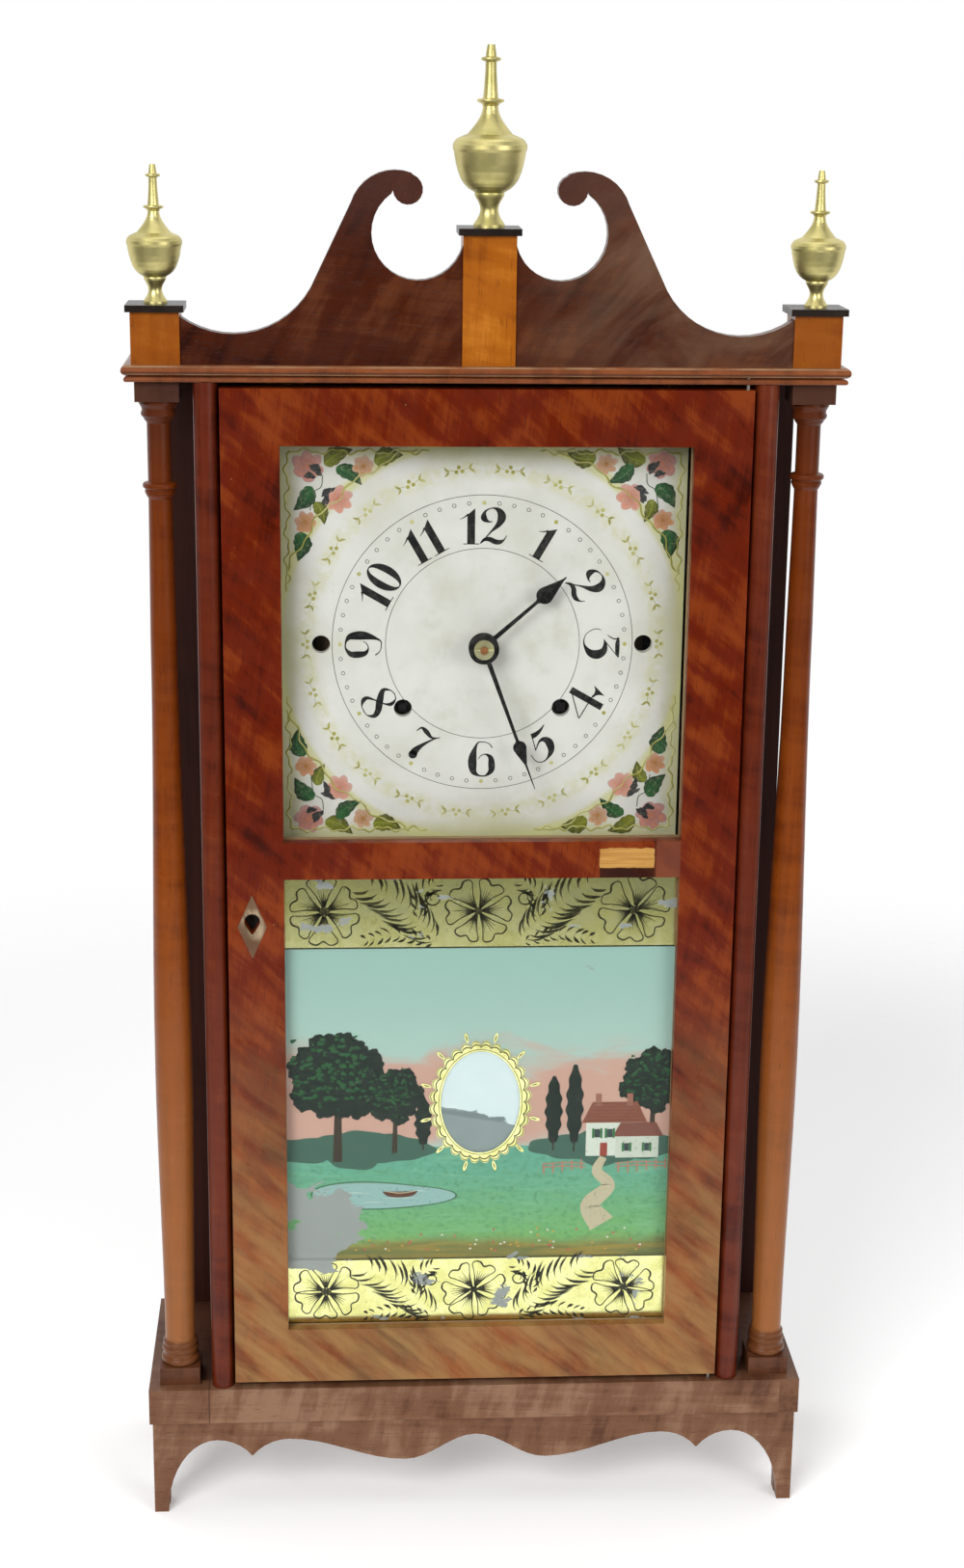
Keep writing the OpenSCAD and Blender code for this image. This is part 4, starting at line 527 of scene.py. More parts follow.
# The painted tablet: ink lines, gilding and colours lie on the back of the lower glass in that
# order, the nearest first, with a clear oval left in the middle. Flat strips and patches draw it.
glass_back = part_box("tablet_glass")[1].y
sheet_x = pane_x + 0.003
sheet_low, sheet_high = tablet_low - 0.003, tablet_high + 0.003
layer = {"ink": 0.00002, "gold": 0.00007, "near": 0.00012, "far": 0.00064, "sheet": 0.00070}
MM = 0.001
chance = np.random.default_rng(7)


def smooth(points, count=40):
    """A smooth curve through the points: each span is a cubic whose slopes come from its neighbours."""
    points = np.asarray(points, float)
    ends = np.concatenate([2 * points[:1] - points[1:2], points, 2 * points[-1:] - points[-2:-1]])
    t = np.linspace(0, len(points) - 1, count)
    i = np.minimum(t.astype(int), len(points) - 2)
    f = (t - i)[:, None]
    a, b, c, d = (ends[i + k] for k in range(4))
    return b + 0.5 * f * (c - a + f * (2 * a - 5 * b + 4 * c - d + f * (3 * (b - c) + d - a)))


def ribbon(path, width):
    """A flat strip along a path (x, z): each row is the path's point moved half the width both ways."""
    path = np.asarray(path, float)
    step = np.gradient(path, axis=0)
    step /= np.maximum(np.linalg.norm(step, axis=1, keepdims=True), 1e-9)
    out = np.stack([-step[:, 1], step[:, 0]], 1) * np.reshape(width, (-1, 1)) / 2
    return np.stack([path + out, path - out], 1)


def stroke(points, count=40):
    """A brush stroke through points (x, z, width)."""
    curve = smooth(points, count)
    return ribbon(curve[:, :2], curve[:, 2])


def blob(centre, radii, lobes=(), tilt=0.0, count=49, rings=3):
    """A round patch: the radius at angle t is 1 plus a cosine a lobe (how many, how much, from where)."""
    t = np.linspace(0, 2 * np.pi, count)
    r = 1 + sum(much * np.cos(many * t + start) for many, much, start in lobes)
    edge = np.stack([radii[0] * r * np.cos(t), radii[1] * r * np.sin(t)], -1)
    c, s = np.cos(tilt), np.sin(tilt)
    edge = edge @ np.array([[c, s], [-s, c]])
    return np.linspace(0, 1, rings)[:, None, None] * edge + np.asarray(centre, float)


def patch(a, b, c, d):
    """A flat patch between four corners, in order round it."""
    a, b, c, d = (np.array(corner, float) for corner in (a, b, c, d))
    return np.array([[a, b], [d, c]])


def oblong(left, right, low, high):
    """An upright flat patch."""
    return patch((left, low), (right, low), (right, high), (left, high))


def lift(grid, y):
    """Points (x, z) in millimetres stood up in the plane at that y."""
    grid = np.asarray(grid, float) * MM
    return np.stack([grid[..., 0], np.full(grid.shape[:-1], y), grid[..., 1]], -1)


def lay(drawing, depth):
    """A drawing's grids laid on the back of the lower glass, at one of the layers."""
    return [lift(grid, glass_back + layer[depth]) for grid in drawing]


def carried(name, body, grids, material, tones=None):
    """A piece from grids that face the front, which rides on a body."""
    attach(make(name, grids, material, (0, -1, 0), tones), body)


# Flaking: where the paint is lost, the grey backing shows. Bands and picture share its places.
def flaked(place):
    """1 where the paint is gone: small flakes, and worn places low at the left and in the bands."""
    x, _, z = place.axes()
    cloud = place.noise((0.030, 0.030, 0.016), 6, 0.62, 0.4)
    low_left = (1 - x.over(-0.095, -0.055)) * z.within(0.186, 0.245, 0.014)
    bands = 1 - z.within(0.186, 0.405, 0.003)
    need = 0.705 - low_left * 0.30 - bands * 0.085 - z.within(0.183, 0.1885, 0.001) * 0.09
    return (cloud - need).over(0.0, 0.006)


grey_back = rgb(0.29, 0.31, 0.30)


def behind_glass(place, colour, skin, rough, relief=None):
    """Ends a paint that lies on the back of the glass: it flakes off, and shines little there."""
    colour = flaked(place).tint(colour, grey_back)
    finish(place, colour, skin * 0.2 + rough, relief, 0.0001, {"Specular IOR Level": 0.1})


gold_leaf, place = begin("gold_leaf")
leaf = place.noise(0.012, 5, 0.6)
crackle = place.noise(0.0012, 3, 0.6)
colour = leaf.over(0.3, 0.7).tint(rgb(0.98, 0.95, 0.46), rgb(0.80, 0.77, 0.28))
colour = ((1 - crackle.over(0.30, 0.38)) * 0.4).tint(colour, rgb(0.22, 0.20, 0.04))
colour = flaked(place).tint(colour, grey_back)
rough = leaf * 0.16 + flaked(place) * 0.5 + 0.12
finish(place, colour, rough, leaf + crackle * 0.3, 0.00002, {"Metallic": 1 - flaked(place)})

black_ink, place = begin("black_ink")
wash = place.noise(0.004, 4, 0.6)
colour = wash.over(0.35, 0.75).tint(rgb(0.012, 0.012, 0.006), rgb(0.075, 0.070, 0.025))
behind_glass(place, colour, wash, 0.4)


def petal_flower(cx, cz, r, start):
    """Ink of a six-petalled flower: two-lobed outlines, fine hatching from the middle, and a dark eye."""
    drawn = []
    for k in range(6):
        a = start + k * 2 * np.pi / 6 + chance.uniform(-0.06, 0.06)
        t = np.linspace(-1, 1, 61)
        reach = r * (0.13 + 0.87 * (1 - np.abs(t) ** 6) ** 0.5) * (1 - 0.13 * np.exp(-((t / 0.16) ** 2)))
        reach *= chance.uniform(0.88, 1.0)
        spread = 0.50 * np.sign(t) * np.minimum(np.abs(t) * 1.25, 1) ** 0.8 * (0.45 + 0.55 * reach / r)
        path = np.stack([cx + reach * np.cos(a + spread), cz + reach * np.sin(a + spread)], 1)
        drawn.append(ribbon(path, 0.55 + 0.55 * (1 - t * t) * (1 + 0.4 * np.sin(5 * t + k))))
        for s in np.linspace(-0.30, 0.30, 6):
            far = chance.uniform(0.50, 0.72)
            hatch = []
            for q, w in ((0.12, 0.6), (0.5 * far, 0.75), (far, 0.08)):
                v = a + s * (0.6 + 0.5 * q / far)
                hatch.append((cx + q * r * np.cos(v), cz + q * r * np.sin(v), w))
            drawn.append(stroke(hatch, 8))
    drawn.append(blob((cx, cz), (0.13 * r, 0.12 * r), [(6, 0.2, 0)], count=25, rings=2))
    return drawn


def plume(spine, size, count, gap):
    """Ink of a feathered leaf: dark crescents beside a plain stem part its fingers, long in the middle."""
    spine = smooth(spine, 60)
    along = np.gradient(spine, axis=0)
    along /= np.linalg.norm(along, axis=1, keepdims=True)
    drawn = []
    for f in np.linspace(0.02, 0.98, count):
        for s in (-1, 1):
            i = int(np.clip(f + chance.uniform(-0.02, 0.02), 0, 1) * 59)
            out = s * np.array([-along[i, 1], along[i, 0]])
            reach = size * np.sin(np.pi * (0.15 + 0.72 * f)) ** 0.6 * chance.uniform(0.85, 1.1)
            thick = chance.uniform(1.1, 2.1)
            curl = []
            for q, w in ((0, 0.1), (0.3, 0.6 * thick), (0.65, thick), (1.0, 0.12)):
                bent = q * out * (1 - 0.25 * q) + 0.85 * q ** 1.6 * along[i]
                curl.append((spine[i] + gap * out + reach * bent, w))
            drawn.append(stroke([(*p, w) for p, w in curl], 12))
            if f > 0.2:
                aside = (0.02 * out - 0.055 * along[i]) * size
                drawn.append(stroke([(*(p + aside), 0.35 * w) for p, w in curl[1:]], 9))
    return drawn


def band(low, high):
    """Ink of a gold band: three flowers with plumes curling between them and small scrolls."""
    middle, r = (low + high) / 2, (high - low) * 0.485
    drawn = []
    for cx, start in ((-102, 0.55), (-2, 0.1), (100, 0.35)):
        drawn += petal_flower(cx, middle, r, start)
    for cx, s in ((-52, 1), (49, -1)):
        plumes = (
            (((22, -0.80), (10, -0.30), (-3, 0.22), (-22, 0.72)), 0.76, 12, 1.5),
            (((20, -0.88), (-2, -0.66), (-24, -0.80)), 0.26, 9, 0.8),
            (((12, -0.15), (13, 0.45), (22, 0.78)), 0.34, 7, 1.0),
        )
        for spine, size, count, gap in plumes:
            drawn += plume([(cx + s * px, middle + r * pz) for px, pz in spine], r * size, count, gap)
        t = np.linspace(0, 1, 60)[:, None]
        angle = 2.6 * np.pi * t + 2.2
        coil = (1 - 0.7 * t) * r * 0.24 * np.concatenate([s * np.cos(angle), np.sin(angle)], 1)
        drawn.append(ribbon(np.array([cx + s * 21, middle + r * 0.36]) + coil, 1.3 - 0.8 * t))
    return drawn


oval = np.array([1.0, 298.0])
oval_r = np.array([26.6, 36.5])
turn = np.linspace(0, 2 * np.pi, 721)
round_oval = np.stack([np.cos(turn), np.sin(turn)], -1)


def oval_ring(inner, outer):
    """A ring round the oval; inner and outer are how far its edges lie out, a number for each angle."""
    inner, outer = (np.reshape(edge, (-1, 1)) for edge in (inner, outer))
    return np.stack([oval + (oval_r + inner) * round_oval, oval + (oval_r + outer) * round_oval])


band_low, band_high = (sheet_low / MM, 184.4), (407.4, sheet_high / MM)
ink = band(137.4, band_low[1]) + band(band_high[0], 457.4)
ink.append(ribbon([(-sheet_x / MM, band_low[1]), (sheet_x / MM, band_low[1])], 0.9))
ink.append(ribbon([(-sheet_x / MM, band_high[0]), (sheet_x / MM, band_high[0])], 0.9))
ink.append(oval_ring(0 * turn + 0.9, 0 * turn + 1.3))
loops = 28
scallop = np.abs(np.sin(turn * loops / 2)) ** 0.5
ink.append(oval_ring(2.0 + 4.6 * scallop, 2.5 + 4.6 * scallop))
ink.append(oval_ring(1.7 + 2.5 * scallop, 2.5 + 2.5 * scallop))
rays = np.arange(0.5, 12) * 2 * np.pi / 12
for a in rays:
    out = np.array([np.cos(a), np.sin(a)])
    foot = oval + (oval_r + 8.4) * out
    ink.append(stroke([(*foot, 0.2), (*(foot + 2.2 * out), 0.7), (*(foot + 4.2 * out), 0.2)], 9))
carried("tablet_ink", "door", lay(ink, "ink"), black_ink)

gold = [oblong(-sheet_x / MM, sheet_x / MM, low, high) for low, high in (band_low, band_high)]
gold.append(oval_ring(-0.2 + 0 * turn, 3.0 + 4.6 * scallop))
for a in rays:
    out = np.array([np.cos(a), np.sin(a)])
    foot = oval + (oval_r + 7.4) * out
    ray = ((0, 1.0), (2.4, 2.3), (5.6, 2.2), (7.2, 0.4))
    gold.append(stroke([(*(foot + far * out), width) for far, width in ray], 13))
carried("tablet_gilding", "door", lay(gold, "gold"), gold_leaf)


# The picture: a made-up country scene. A sheet of sky, glow and lawn lies behind flat trees, a
# pond and a cottage, and a torn grey and white paper backs it all and shows through the oval.
sky_sheet, place = begin("picture_ground")
x, _, z = place.axes()
brush = place.noise((0.05, 0.05, 0.006), 5, 0.6, 0.6)
cloud = place.noise((0.075, 0.075, 0.026), 4, 0.55, 0.8)
blade = place.noise((0.004, 0.004, 0.0025), 4, 0.65)
sky = (z + (brush - 0.5) * 0.03).over(0.29, 0.40).tint(rgb(0.40, 0.54, 0.49), rgb(0.31, 0.48, 0.43))
glow = (z + (cloud - 0.5) * 0.075).within(0.262, 0.328, 0.011)
sky = (glow * 0.85).tint(sky, rgb(0.57, 0.29, 0.22))
lawn = (z + (brush - 0.5) * 0.04).over(0.19, 0.26).tint(rgb(0.17, 0.40, 0.13), rgb(0.12, 0.36, 0.26))
lawn = (blade.over(0.45, 0.7) * 0.5).tint(lawn, rgb(0.055, 0.22, 0.10))
lawn = (brush.over(0.5, 0.72) * 0.45).tint(lawn, rgb(0.24, 0.50, 0.27))
earth = (z + (cloud - 0.5) * 0.022).over(0.192, 0.203)
lawn = earth.tint(brush.over(0.3, 0.7).tint(rgb(0.30, 0.22, 0.045), rgb(0.12, 0.15, 0.05)), lawn)
ground = (z + (brush - 0.5) * 0.004).over(0.2655, 0.2665).tint(lawn, sky)
scratch = 1 - place.noise(0.0016, 2).over(0.24, 0.26)
ground = (scratch * 0.7).tint(ground, grey_back)
behind_glass(place, ground, brush, 0.35, brush)

hem = np.array([[-sheet_x / MM, sheet_x / MM], [band_low[1] - 1, band_high[0] + 1]])
far = np.where(round_oval > 0, hem[:, 1] - oval, oval - hem[:, 0]) / np.maximum(np.abs(round_oval), 1e-9)
rim = oval + round_oval * far.min(1, keepdims=True)
share = np.linspace(0, 1, 5)[:, None, None]
sheet = (1 - share) * (oval + oval_r * round_oval) + share * rim
carried("picture_ground", "door", lay([sheet], "sheet"), sky_sheet)

brush_paint, place = begin("brush_paint")
dab = place.noise((0.0028, 0.0028, 0.0020), 4, 0.65)
colour = place.add("Attribute", attribute_name="paint", out="Color")
colour = (dab.over(0.45, 0.8) * 0.12).tint(colour, rgb(0.16, 0.26, 0.12))
colour = ((1 - dab.over(0.25, 0.45)) * 0.4).tint(colour, rgb(0.004, 0.010, 0.006))
behind_glass(place, colour, dab, 0.35, dab)


marks = {"far": [], "middle": [], "near": []}


def put(grid, colour, depth="near"):
    """A brush mark with its colour, kept by depth until all marks become one piece."""
    marks[depth].append((grid, np.array(colour, float)))


dark_leaf, mid_leaf, pale_leaf = (0.001, 0.009, 0.005), (0.010, 0.085, 0.022), (0.085, 0.20, 0.07)
wall, roof = (0.62, 0.66, 0.58), (0.235, 0.070, 0.040)


def tree(cx, foot, height, width, clumps=26):
    """A round-headed tree: a trunk, dark clumps of leaves in an oval crown, and paler dabs on them."""
    trunk = stroke([(cx, foot, width * 0.09), (cx + 0.6, foot + height * 0.5, width * 0.06)], 8)
    put(trunk, (0.035, 0.022, 0.012), "middle")
    for i in range(clumps):
        away, a = ((i + 0.5) / clumps) ** 0.5, 2.4 * i
        out = away * np.array([0.36 * width * np.cos(a), 0.25 * height * np.sin(a)])
        at = np.array([cx, foot + height * 0.64]) + out
        lobes = [(many, much, chance.uniform(0, 6)) for many, much in ((5, 0.07), (9, 0.06), (17, 0.04))]
        r = width * chance.uniform(0.12, 0.17)
        put(blob(at, (r, r * 0.95), lobes), dark_leaf, "middle")
        for _ in range(4):
            dab = at + np.array([-0.3, 0.35]) * r + chance.normal(0, r * 0.33, 2)
            s = r * chance.uniform(0.10, 0.22)
            put(blob(dab, (s, s * 0.6), [(3, 0.2, 0)], chance.uniform(-0.6, 0.6), 13, 2), mid_leaf)


def poplar(cx, foot, height, width):
    """A slim pointed tree with a ragged outline."""
    z = np.linspace(0, 1, 41)
    across = width * np.sin(np.pi * np.clip(z * 0.93 + 0.05, 0, 1)) ** 0.6
    path = np.stack([cx + 0 * z, foot + height * z], 1)
    put(ribbon(path, across * (1 + 0.14 * np.sin(31 * z + cx))), dark_leaf, "middle")
    put(stroke([(cx, foot - height * 0.12, 1.3), (cx, foot + 3, 1.1)], 6), (0.03, 0.02, 0.012), "middle")


for cx, height in ((-115, 9), (-84, 14), (-56, 10), (60, 9), (88, 14), (112, 9)):
    hill = blob((cx, 265), (25, height), [(3, 0.1, cx), (7, 0.05, 2 * cx)], count=61)
    put(hill, (0.045, 0.115, 0.085), "far")
tree(-94, 256, 96, 70, 34)
tree(-56, 262, 64, 42)
tree(116, 262, 78, 46)
for cx, height in ((50, 48), (64, 56), (-37, 34)):
    poplar(cx, 268, height, 11)


def window(cx, z, w, h):
    """A window with a dark pane between two green shutters."""
    put(oblong(cx - w / 2, cx + w / 2, z, z + h), (0.03, 0.05, 0.05))
    for s in (-1, 1):
        put(oblong(cx + s * w * 0.55, cx + s * w * 0.95, z - 0.5, z + h + 0.5), (0.03, 0.16, 0.05))


put(oblong(72, 110, 258, 283), wall, "middle")
put(patch((69, 282), (113, 282), (106, 297), (76, 297)), roof, "middle")
put(oblong(92, 121, 256.5, 273), (0.54, 0.58, 0.50), "middle")
put(patch((90, 272), (124, 272), (119, 282), (95, 282)), (0.19, 0.060, 0.040), "near")
for cx in (80, 101):
    put(oblong(cx - 2, cx + 2, 294, 303), (0.30, 0.12, 0.08), "middle")
for at in ((79.5, 271.5, 3.6, 6), (88.0, 271.5, 3.6, 6), (99.5, 261.5, 3.4, 5.5), (113, 261.5, 3.4, 5.5)):
    window(*at)
put(oblong(81.6, 86.4, 258, 267.5), (0.30, 0.05, 0.03))
for z0 in np.arange(284, 297, 2.4):
    put(ribbon([(70 + (z0 - 282) * 0.47, z0), (112 - (z0 - 282) * 0.47, z0)], 0.25), (0.07, 0.02, 0.015))
path = smooth([(84, 257, 5), (80, 247, 7), (88, 236, 9), (76, 222, 13), (84, 208, 18)], 40)
put(ribbon(path[:, :2], path[:, 2]), (0.50, 0.44, 0.30), "middle")
for cx in np.arange(44, 126, 6.3):
    if not 72 < cx < 92:
        z0 = 247 + 1.4 * np.sin(cx / 9)
        put(ribbon([(cx, z0), (cx, z0 + 7.5)], 1.0), (0.44, 0.20, 0.14))
for z0 in (250, 252.6):
    for a, b in ((43, 72), (92, 127)):
        put(stroke([(a, z0, 0.8), ((a + b) / 2, z0 + 1, 0.8), (b, z0, 0.8)], 12), (0.44, 0.20, 0.14))
for radii, tone in (((47.5, 10.6), (0.06, 0.17, 0.09)), ((46, 9.5), (0.27, 0.44, 0.42))):
    put(blob((-66, 231), radii, [(2, 0.06, 1), (3, 0.07, 0)], count=73), tone, "far")
for cx, z0, w in ((-82, 233, 20), (-52, 229, 26), (-70, 226, 15), (-40, 234, 10)):
    ripple = stroke([(cx - w / 2, z0, 0.1), (cx, z0 + 0.5, 0.8), (cx + w / 2, z0, 0.1)], 12)
    put(ripple, (0.47, 0.60, 0.55))
hull = [(-64, 234, 0.3), (-60, 232.4, 3.4), (-52, 231.8, 4.4), (-44, 232.6, 3.2), (-40.5, 234.4, 0.3)]
put(stroke(hull, 24), (0.10, 0.035, 0.02))
put(stroke([(-62, 234.2, 0.4), (-52, 232.9, 0.7), (-42, 234.2, 0.4)], 16), (0.55, 0.45, 0.28))
for _ in range(260):
    at = chance.uniform((-125, 190), (125, 250))
    if abs(at[0] + 66) > 50 or abs(at[1] - 231) > 13:
        length = chance.uniform(1.2, 3.2)
        tuft = [(*at, 0.35), (at[0] + chance.uniform(-1, 1), at[1] + length, 0.05)]
        put(stroke(tuft, 4), chance.choice([mid_leaf, pale_leaf, (0.30, 0.36, 0.10)]))
blooms = [(0.55, 0.30, 0.06), (0.52, 0.10, 0.07), (0.6, 0.6, 0.5)]
for _ in range(60):
    at = chance.uniform((-122, 188), (122, 206))
    put(blob(at, (0.9, 0.7), count=9, rings=2), chance.choice(blooms))
ordered = [mark for depth in ("far", "middle", "near") for mark in marks[depth]]
behind = glass_back + np.linspace(layer["far"], layer["near"], len(ordered))
details = [lift(grid, y) for (grid, _), y in zip(ordered, behind)]
carried("picture_details", "door", details, brush_paint, [tone for _, tone in ordered])

backing, place = begin("backing_paper")
x, _, z = place.axes()
torn = place.noise((0.02, 0.02, 0.012), 5, 0.6)
fibre = place.noise(0.0012, 3)
edge = (z - x * -0.35 + (torn - 0.5) * 0.020).over(0.2885, 0.2893)
strip = (z + x * 0.16 + (torn - 0.5) * 0.004).within(0.2855, 0.2895, 0.0006) * (1 - edge)
grey = torn.tint(rgb(0.19, 0.25, 0.25), rgb(0.27, 0.32, 0.32))
white = torn.tint(rgb(0.58, 0.69, 0.71), rgb(0.68, 0.78, 0.80))
colour = edge.tint(grey, white)
colour = (strip * 0.6).tint(colour, rgb(0.12, 0.16, 0.17))
finish(place, colour, fibre * 0.1 + 0.8, fibre, 0.00005)
corner_x = sheet_x / MM - 0.5
paper = oblong(-corner_x, corner_x, band_low[0], band_high[1])
carried("backing_paper", "door", [lift(paper, glass_back + 0.0010)], backing)


# The label: a sheet of old paper pasted on the backboard behind the tablet. It is left blank.
label_paper, place = begin("label_paper")
stain = place.noise(0.05, 6, 0.65)
fibre = place.noise(0.0012, 3)
colour = stain.over(0.3, 0.75).tint(rgb(0.50, 0.43, 0.29), rgb(0.22, 0.15, 0.08))
finish(place, colour, fibre * 0.1 + 0.85, fibre, 0.00006)
u, v = np.meshgrid(np.linspace(-1, 1, 41), np.linspace(-1, 1, 41))
front_of_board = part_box("backboard")[0].y
label = np.stack([88 * u + 0.5 * np.sin(7 * v), 330 + 118 * v + 0.4 * np.sin(9 * u)], -1)
carried("label", "case", [lift(label, front_of_board - 0.00025)], label_paper)


# The dial: a pine board primed and painted cream, with a raised gilt border, a faint gold wreath,
# sprays of roses in the corners, black minute rings and black numerals set round the middle.
dial_white, place = begin("dial_white")
dial_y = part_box("dial_board")[0].y
x, _, z = place.axes()
dial_z = 0.605
up = z - dial_z
mottle = place.noise(0.04, 5, 0.6)
stipple = place.noise(0.0016, 3, 0.6)
craze = 1 - place.noise(0.011, 6, 0.7).over(0.30, 0.315)
colour = mottle.over(0.3, 0.75).tint(rgb(0.73, 0.71, 0.68), rgb(0.63, 0.61, 0.55))
to_edge = (abs(x) - 0.1275).maths("MAXIMUM", abs(up) - 0.127) + (mottle - 0.5) * 0.012
colour = (to_edge.over(-0.016, 0.0) * 0.75).tint(colour, rgb(0.46, 0.43, 0.17))
colour = ((1 - stipple.over(0.28, 0.36)) * 0.25).tint(colour, rgb(0.35, 0.30, 0.17))
away = (x * x + up * up) ** 0.5
bloom = place.noise(0.007, 4, 0.6).over(0.35, 0.65)
yellowed = away.within(0.1285, 0.1355, 0.002) * 0.75 + away.within(0.107, 0.118, 0.003) * bloom * 0.45
colour = yellowed.tint(colour, rgb(0.58, 0.56, 0.25))
smudge = place.noise(0.02, 5, 0.65).over(0.48, 0.8) * (1 - away.over(0.02, 0.10)) * 0.35
colour = smudge.tint(colour, rgb(0.42, 0.38, 0.26))
finish(place, colour, mottle * 0.15 + 0.38, stipple * 0.5 - craze, 0.00003)
wear("dial_board", dial_white)

dial_art = np.array([0.0, dial_z / MM])


def on_dial(grid, out=0.00006):
    """Points in millimetres about the dial's middle, laid on its front."""
    return lift(np.asarray(grid, float) + dial_art, dial_y - out)


def ring(r, width, count=181):
    """A thin ring round the dial's middle."""
    t = np.linspace(0, 2 * np.pi, count)
    return np.array([r - width / 2, r + width / 2])[:, None, None] * np.stack([np.cos(t), np.sin(t)], -1)


def oval_digit(cx, cy, rx, ry, thin, thick, lean=0.0):
    """A closed stroke round an ellipse, thick at its sides and thin at its top and foot."""
    t = np.linspace(0, 2 * np.pi, 49)
    path = np.stack([cx + rx * np.cos(t) + lean * np.sin(t), cy + ry * np.sin(t)], -1)
    width = thin + (thick - thin) * np.abs(np.cos(t)) ** 1.6
    out = np.stack([np.cos(t), np.sin(t) * rx / ry], -1)
    out /= np.linalg.norm(out, axis=1, keepdims=True)
    return np.stack([path + out * width[:, None] / 2, path - out * width[:, None] / 2], 1)


def ball(cx, cy, r):
    return blob((cx, cy), (r, r), count=25, rings=2)


nine = [
    stroke([(0.43, 0.98, 0.03), (0.25, 0.97, 0.05), (0.10, 0.83, 0.15), (0.085, 0.64, 0.185),
            (0.12, 0.45, 0.13), (0.25, 0.36, 0.04), (0.38, 0.40, 0.025), (0.46, 0.50, 0.02)]),
    stroke([(0.30, 0.985, 0.03), (0.45, 0.96, 0.06), (0.58, 0.85, 0.17), (0.615, 0.62, 0.24),
            (0.60, 0.40, 0.20), (0.53, 0.15, 0.08), (0.45, 0.02, 0.035), (0.30, 0.01, 0.025),
            (0.16, 0.06, 0.025), (0.07, 0.17, 0.035)], 60),
]
digits = {
    "0": (0.65, [oval_digit(0.325, 0.5, 0.225, 0.485, 0.03, 0.20)]),
    "1": (0.50, [
        patch((0.175, 0.0), (0.385, 0.0), (0.385, 0.98), (0.175, 0.80)),
        stroke([(0.20, 0.82, 0.05), (0.10, 0.74, 0.03), (-0.02, 0.68, 0.012)], 12),
        stroke([(0.07, 0.012, 0.024), (0.50, 0.012, 0.024)], 4),
    ]),
    "2": (0.73, [
        stroke([(0.33, 0.62, 0.02), (0.22, 0.62, 0.06), (0.10, 0.72, 0.17), (0.14, 0.90, 0.06),
                (0.33, 0.985, 0.035), (0.50, 0.92, 0.14), (0.58, 0.75, 0.23), (0.50, 0.55, 0.15),
                (0.30, 0.35, 0.05), (0.10, 0.12, 0.03), (0.01, 0.02, 0.03)], 70),
        stroke([(0.01, 0.03, 0.03), (0.12, 0.13, 0.09), (0.26, 0.14, 0.13), (0.40, 0.075, 0.14),
                (0.53, 0.065, 0.12), (0.65, 0.13, 0.04), (0.72, 0.25, 0.015)]),
    ]),
    "3": (0.86, [
        stroke([(0.25, 0.965, 0.03), (0.38, 0.94, 0.11), (0.55, 0.935, 0.12), (0.70, 0.94, 0.10),
                (0.81, 0.97, 0.02)]),
        stroke([(0.26, 0.97, 0.03), (0.29, 0.86, 0.035), (0.24, 0.74, 0.03), (0.17, 0.65, 0.012)], 20),
        stroke([(0.80, 0.96, 0.02), (0.32, 0.57, 0.025)], 6),
        stroke([(0.30, 0.57, 0.02), (0.45, 0.60, 0.10), (0.62, 0.56, 0.19), (0.72, 0.40, 0.25),
                (0.68, 0.20, 0.20), (0.50, 0.05, 0.07), (0.33, 0.015, 0.03), (0.15, 0.08, 0.02),
                (0.03, 0.25, 0.02), (0.01, 0.40, 0.02), (0.05, 0.48, 0.012)], 70),
    ]),
    "4": (0.95, [
        patch((0.485, 0.0), (0.675, 0.0), (0.675, 1.0), (0.485, 1.0)),
        stroke([(0.50, 0.91, 0.03), (0.0, 0.395, 0.03)], 6),
        stroke([(0.0, 0.385, 0.03), (0.76, 0.385, 0.03)], 4),
        stroke([(0.70, 0.36, 0.03), (0.80, 0.345, 0.08), (0.88, 0.32, 0.20), (0.95, 0.30, 0.42)], 16),
    ]),
    "5": (0.78, [
        stroke([(0.28, 0.80, 0.15), (0.42, 0.80, 0.13), (0.58, 0.84, 0.08), (0.75, 0.93, 0.015)], 20),
        stroke([(0.29, 0.80, 0.025), (0.19, 0.39, 0.03)], 6),
        stroke([(0.20, 0.41, 0.02), (0.40, 0.57, 0.06), (0.55, 0.55, 0.15), (0.62, 0.40, 0.22),
                (0.56, 0.19, 0.17), (0.38, 0.05, 0.06), (0.20, 0.015, 0.03), (0.05, 0.12, 0.025),
                (0.01, 0.35, 0.02)], 60),
    ]),
    "6": (0.74, [np.array([0.74, 1.0]) - grid for grid in nine]),
    "7": (0.72, [
        stroke([(0.03, 0.75, 0.02), (0.11, 0.895, 0.06), (0.28, 0.86, 0.13), (0.47, 0.79, 0.07),
                (0.60, 0.84, 0.03), (0.69, 0.905, 0.015)]),
        stroke([(0.69, 0.90, 0.02), (0.59, 0.82, 0.04), (0.47, 0.65, 0.06), (0.35, 0.44, 0.11),
                (0.28, 0.25, 0.19), (0.275, 0.12, 0.22)]),
        ball(0.275, 0.12, 0.12),
    ]),
    "8": (0.65, [
        stroke([(0.33, 0.985, 0.03), (0.18, 0.93, 0.035), (0.09, 0.76, 0.12), (0.29, 0.54, 0.19),
                (0.51, 0.36, 0.17), (0.585, 0.19, 0.12), (0.48, 0.04, 0.03), (0.33, 0.015, 0.03)], 60),
        stroke([(0.33, 0.985, 0.03), (0.47, 0.93, 0.035), (0.53, 0.76, 0.10), (0.43, 0.60, 0.04),
                (0.21, 0.43, 0.04), (0.06, 0.29, 0.09), (0.06, 0.16, 0.12), (0.18, 0.04, 0.03),
                (0.33, 0.015, 0.03)], 60),
    ]),
    "9": (0.74, nine),
}


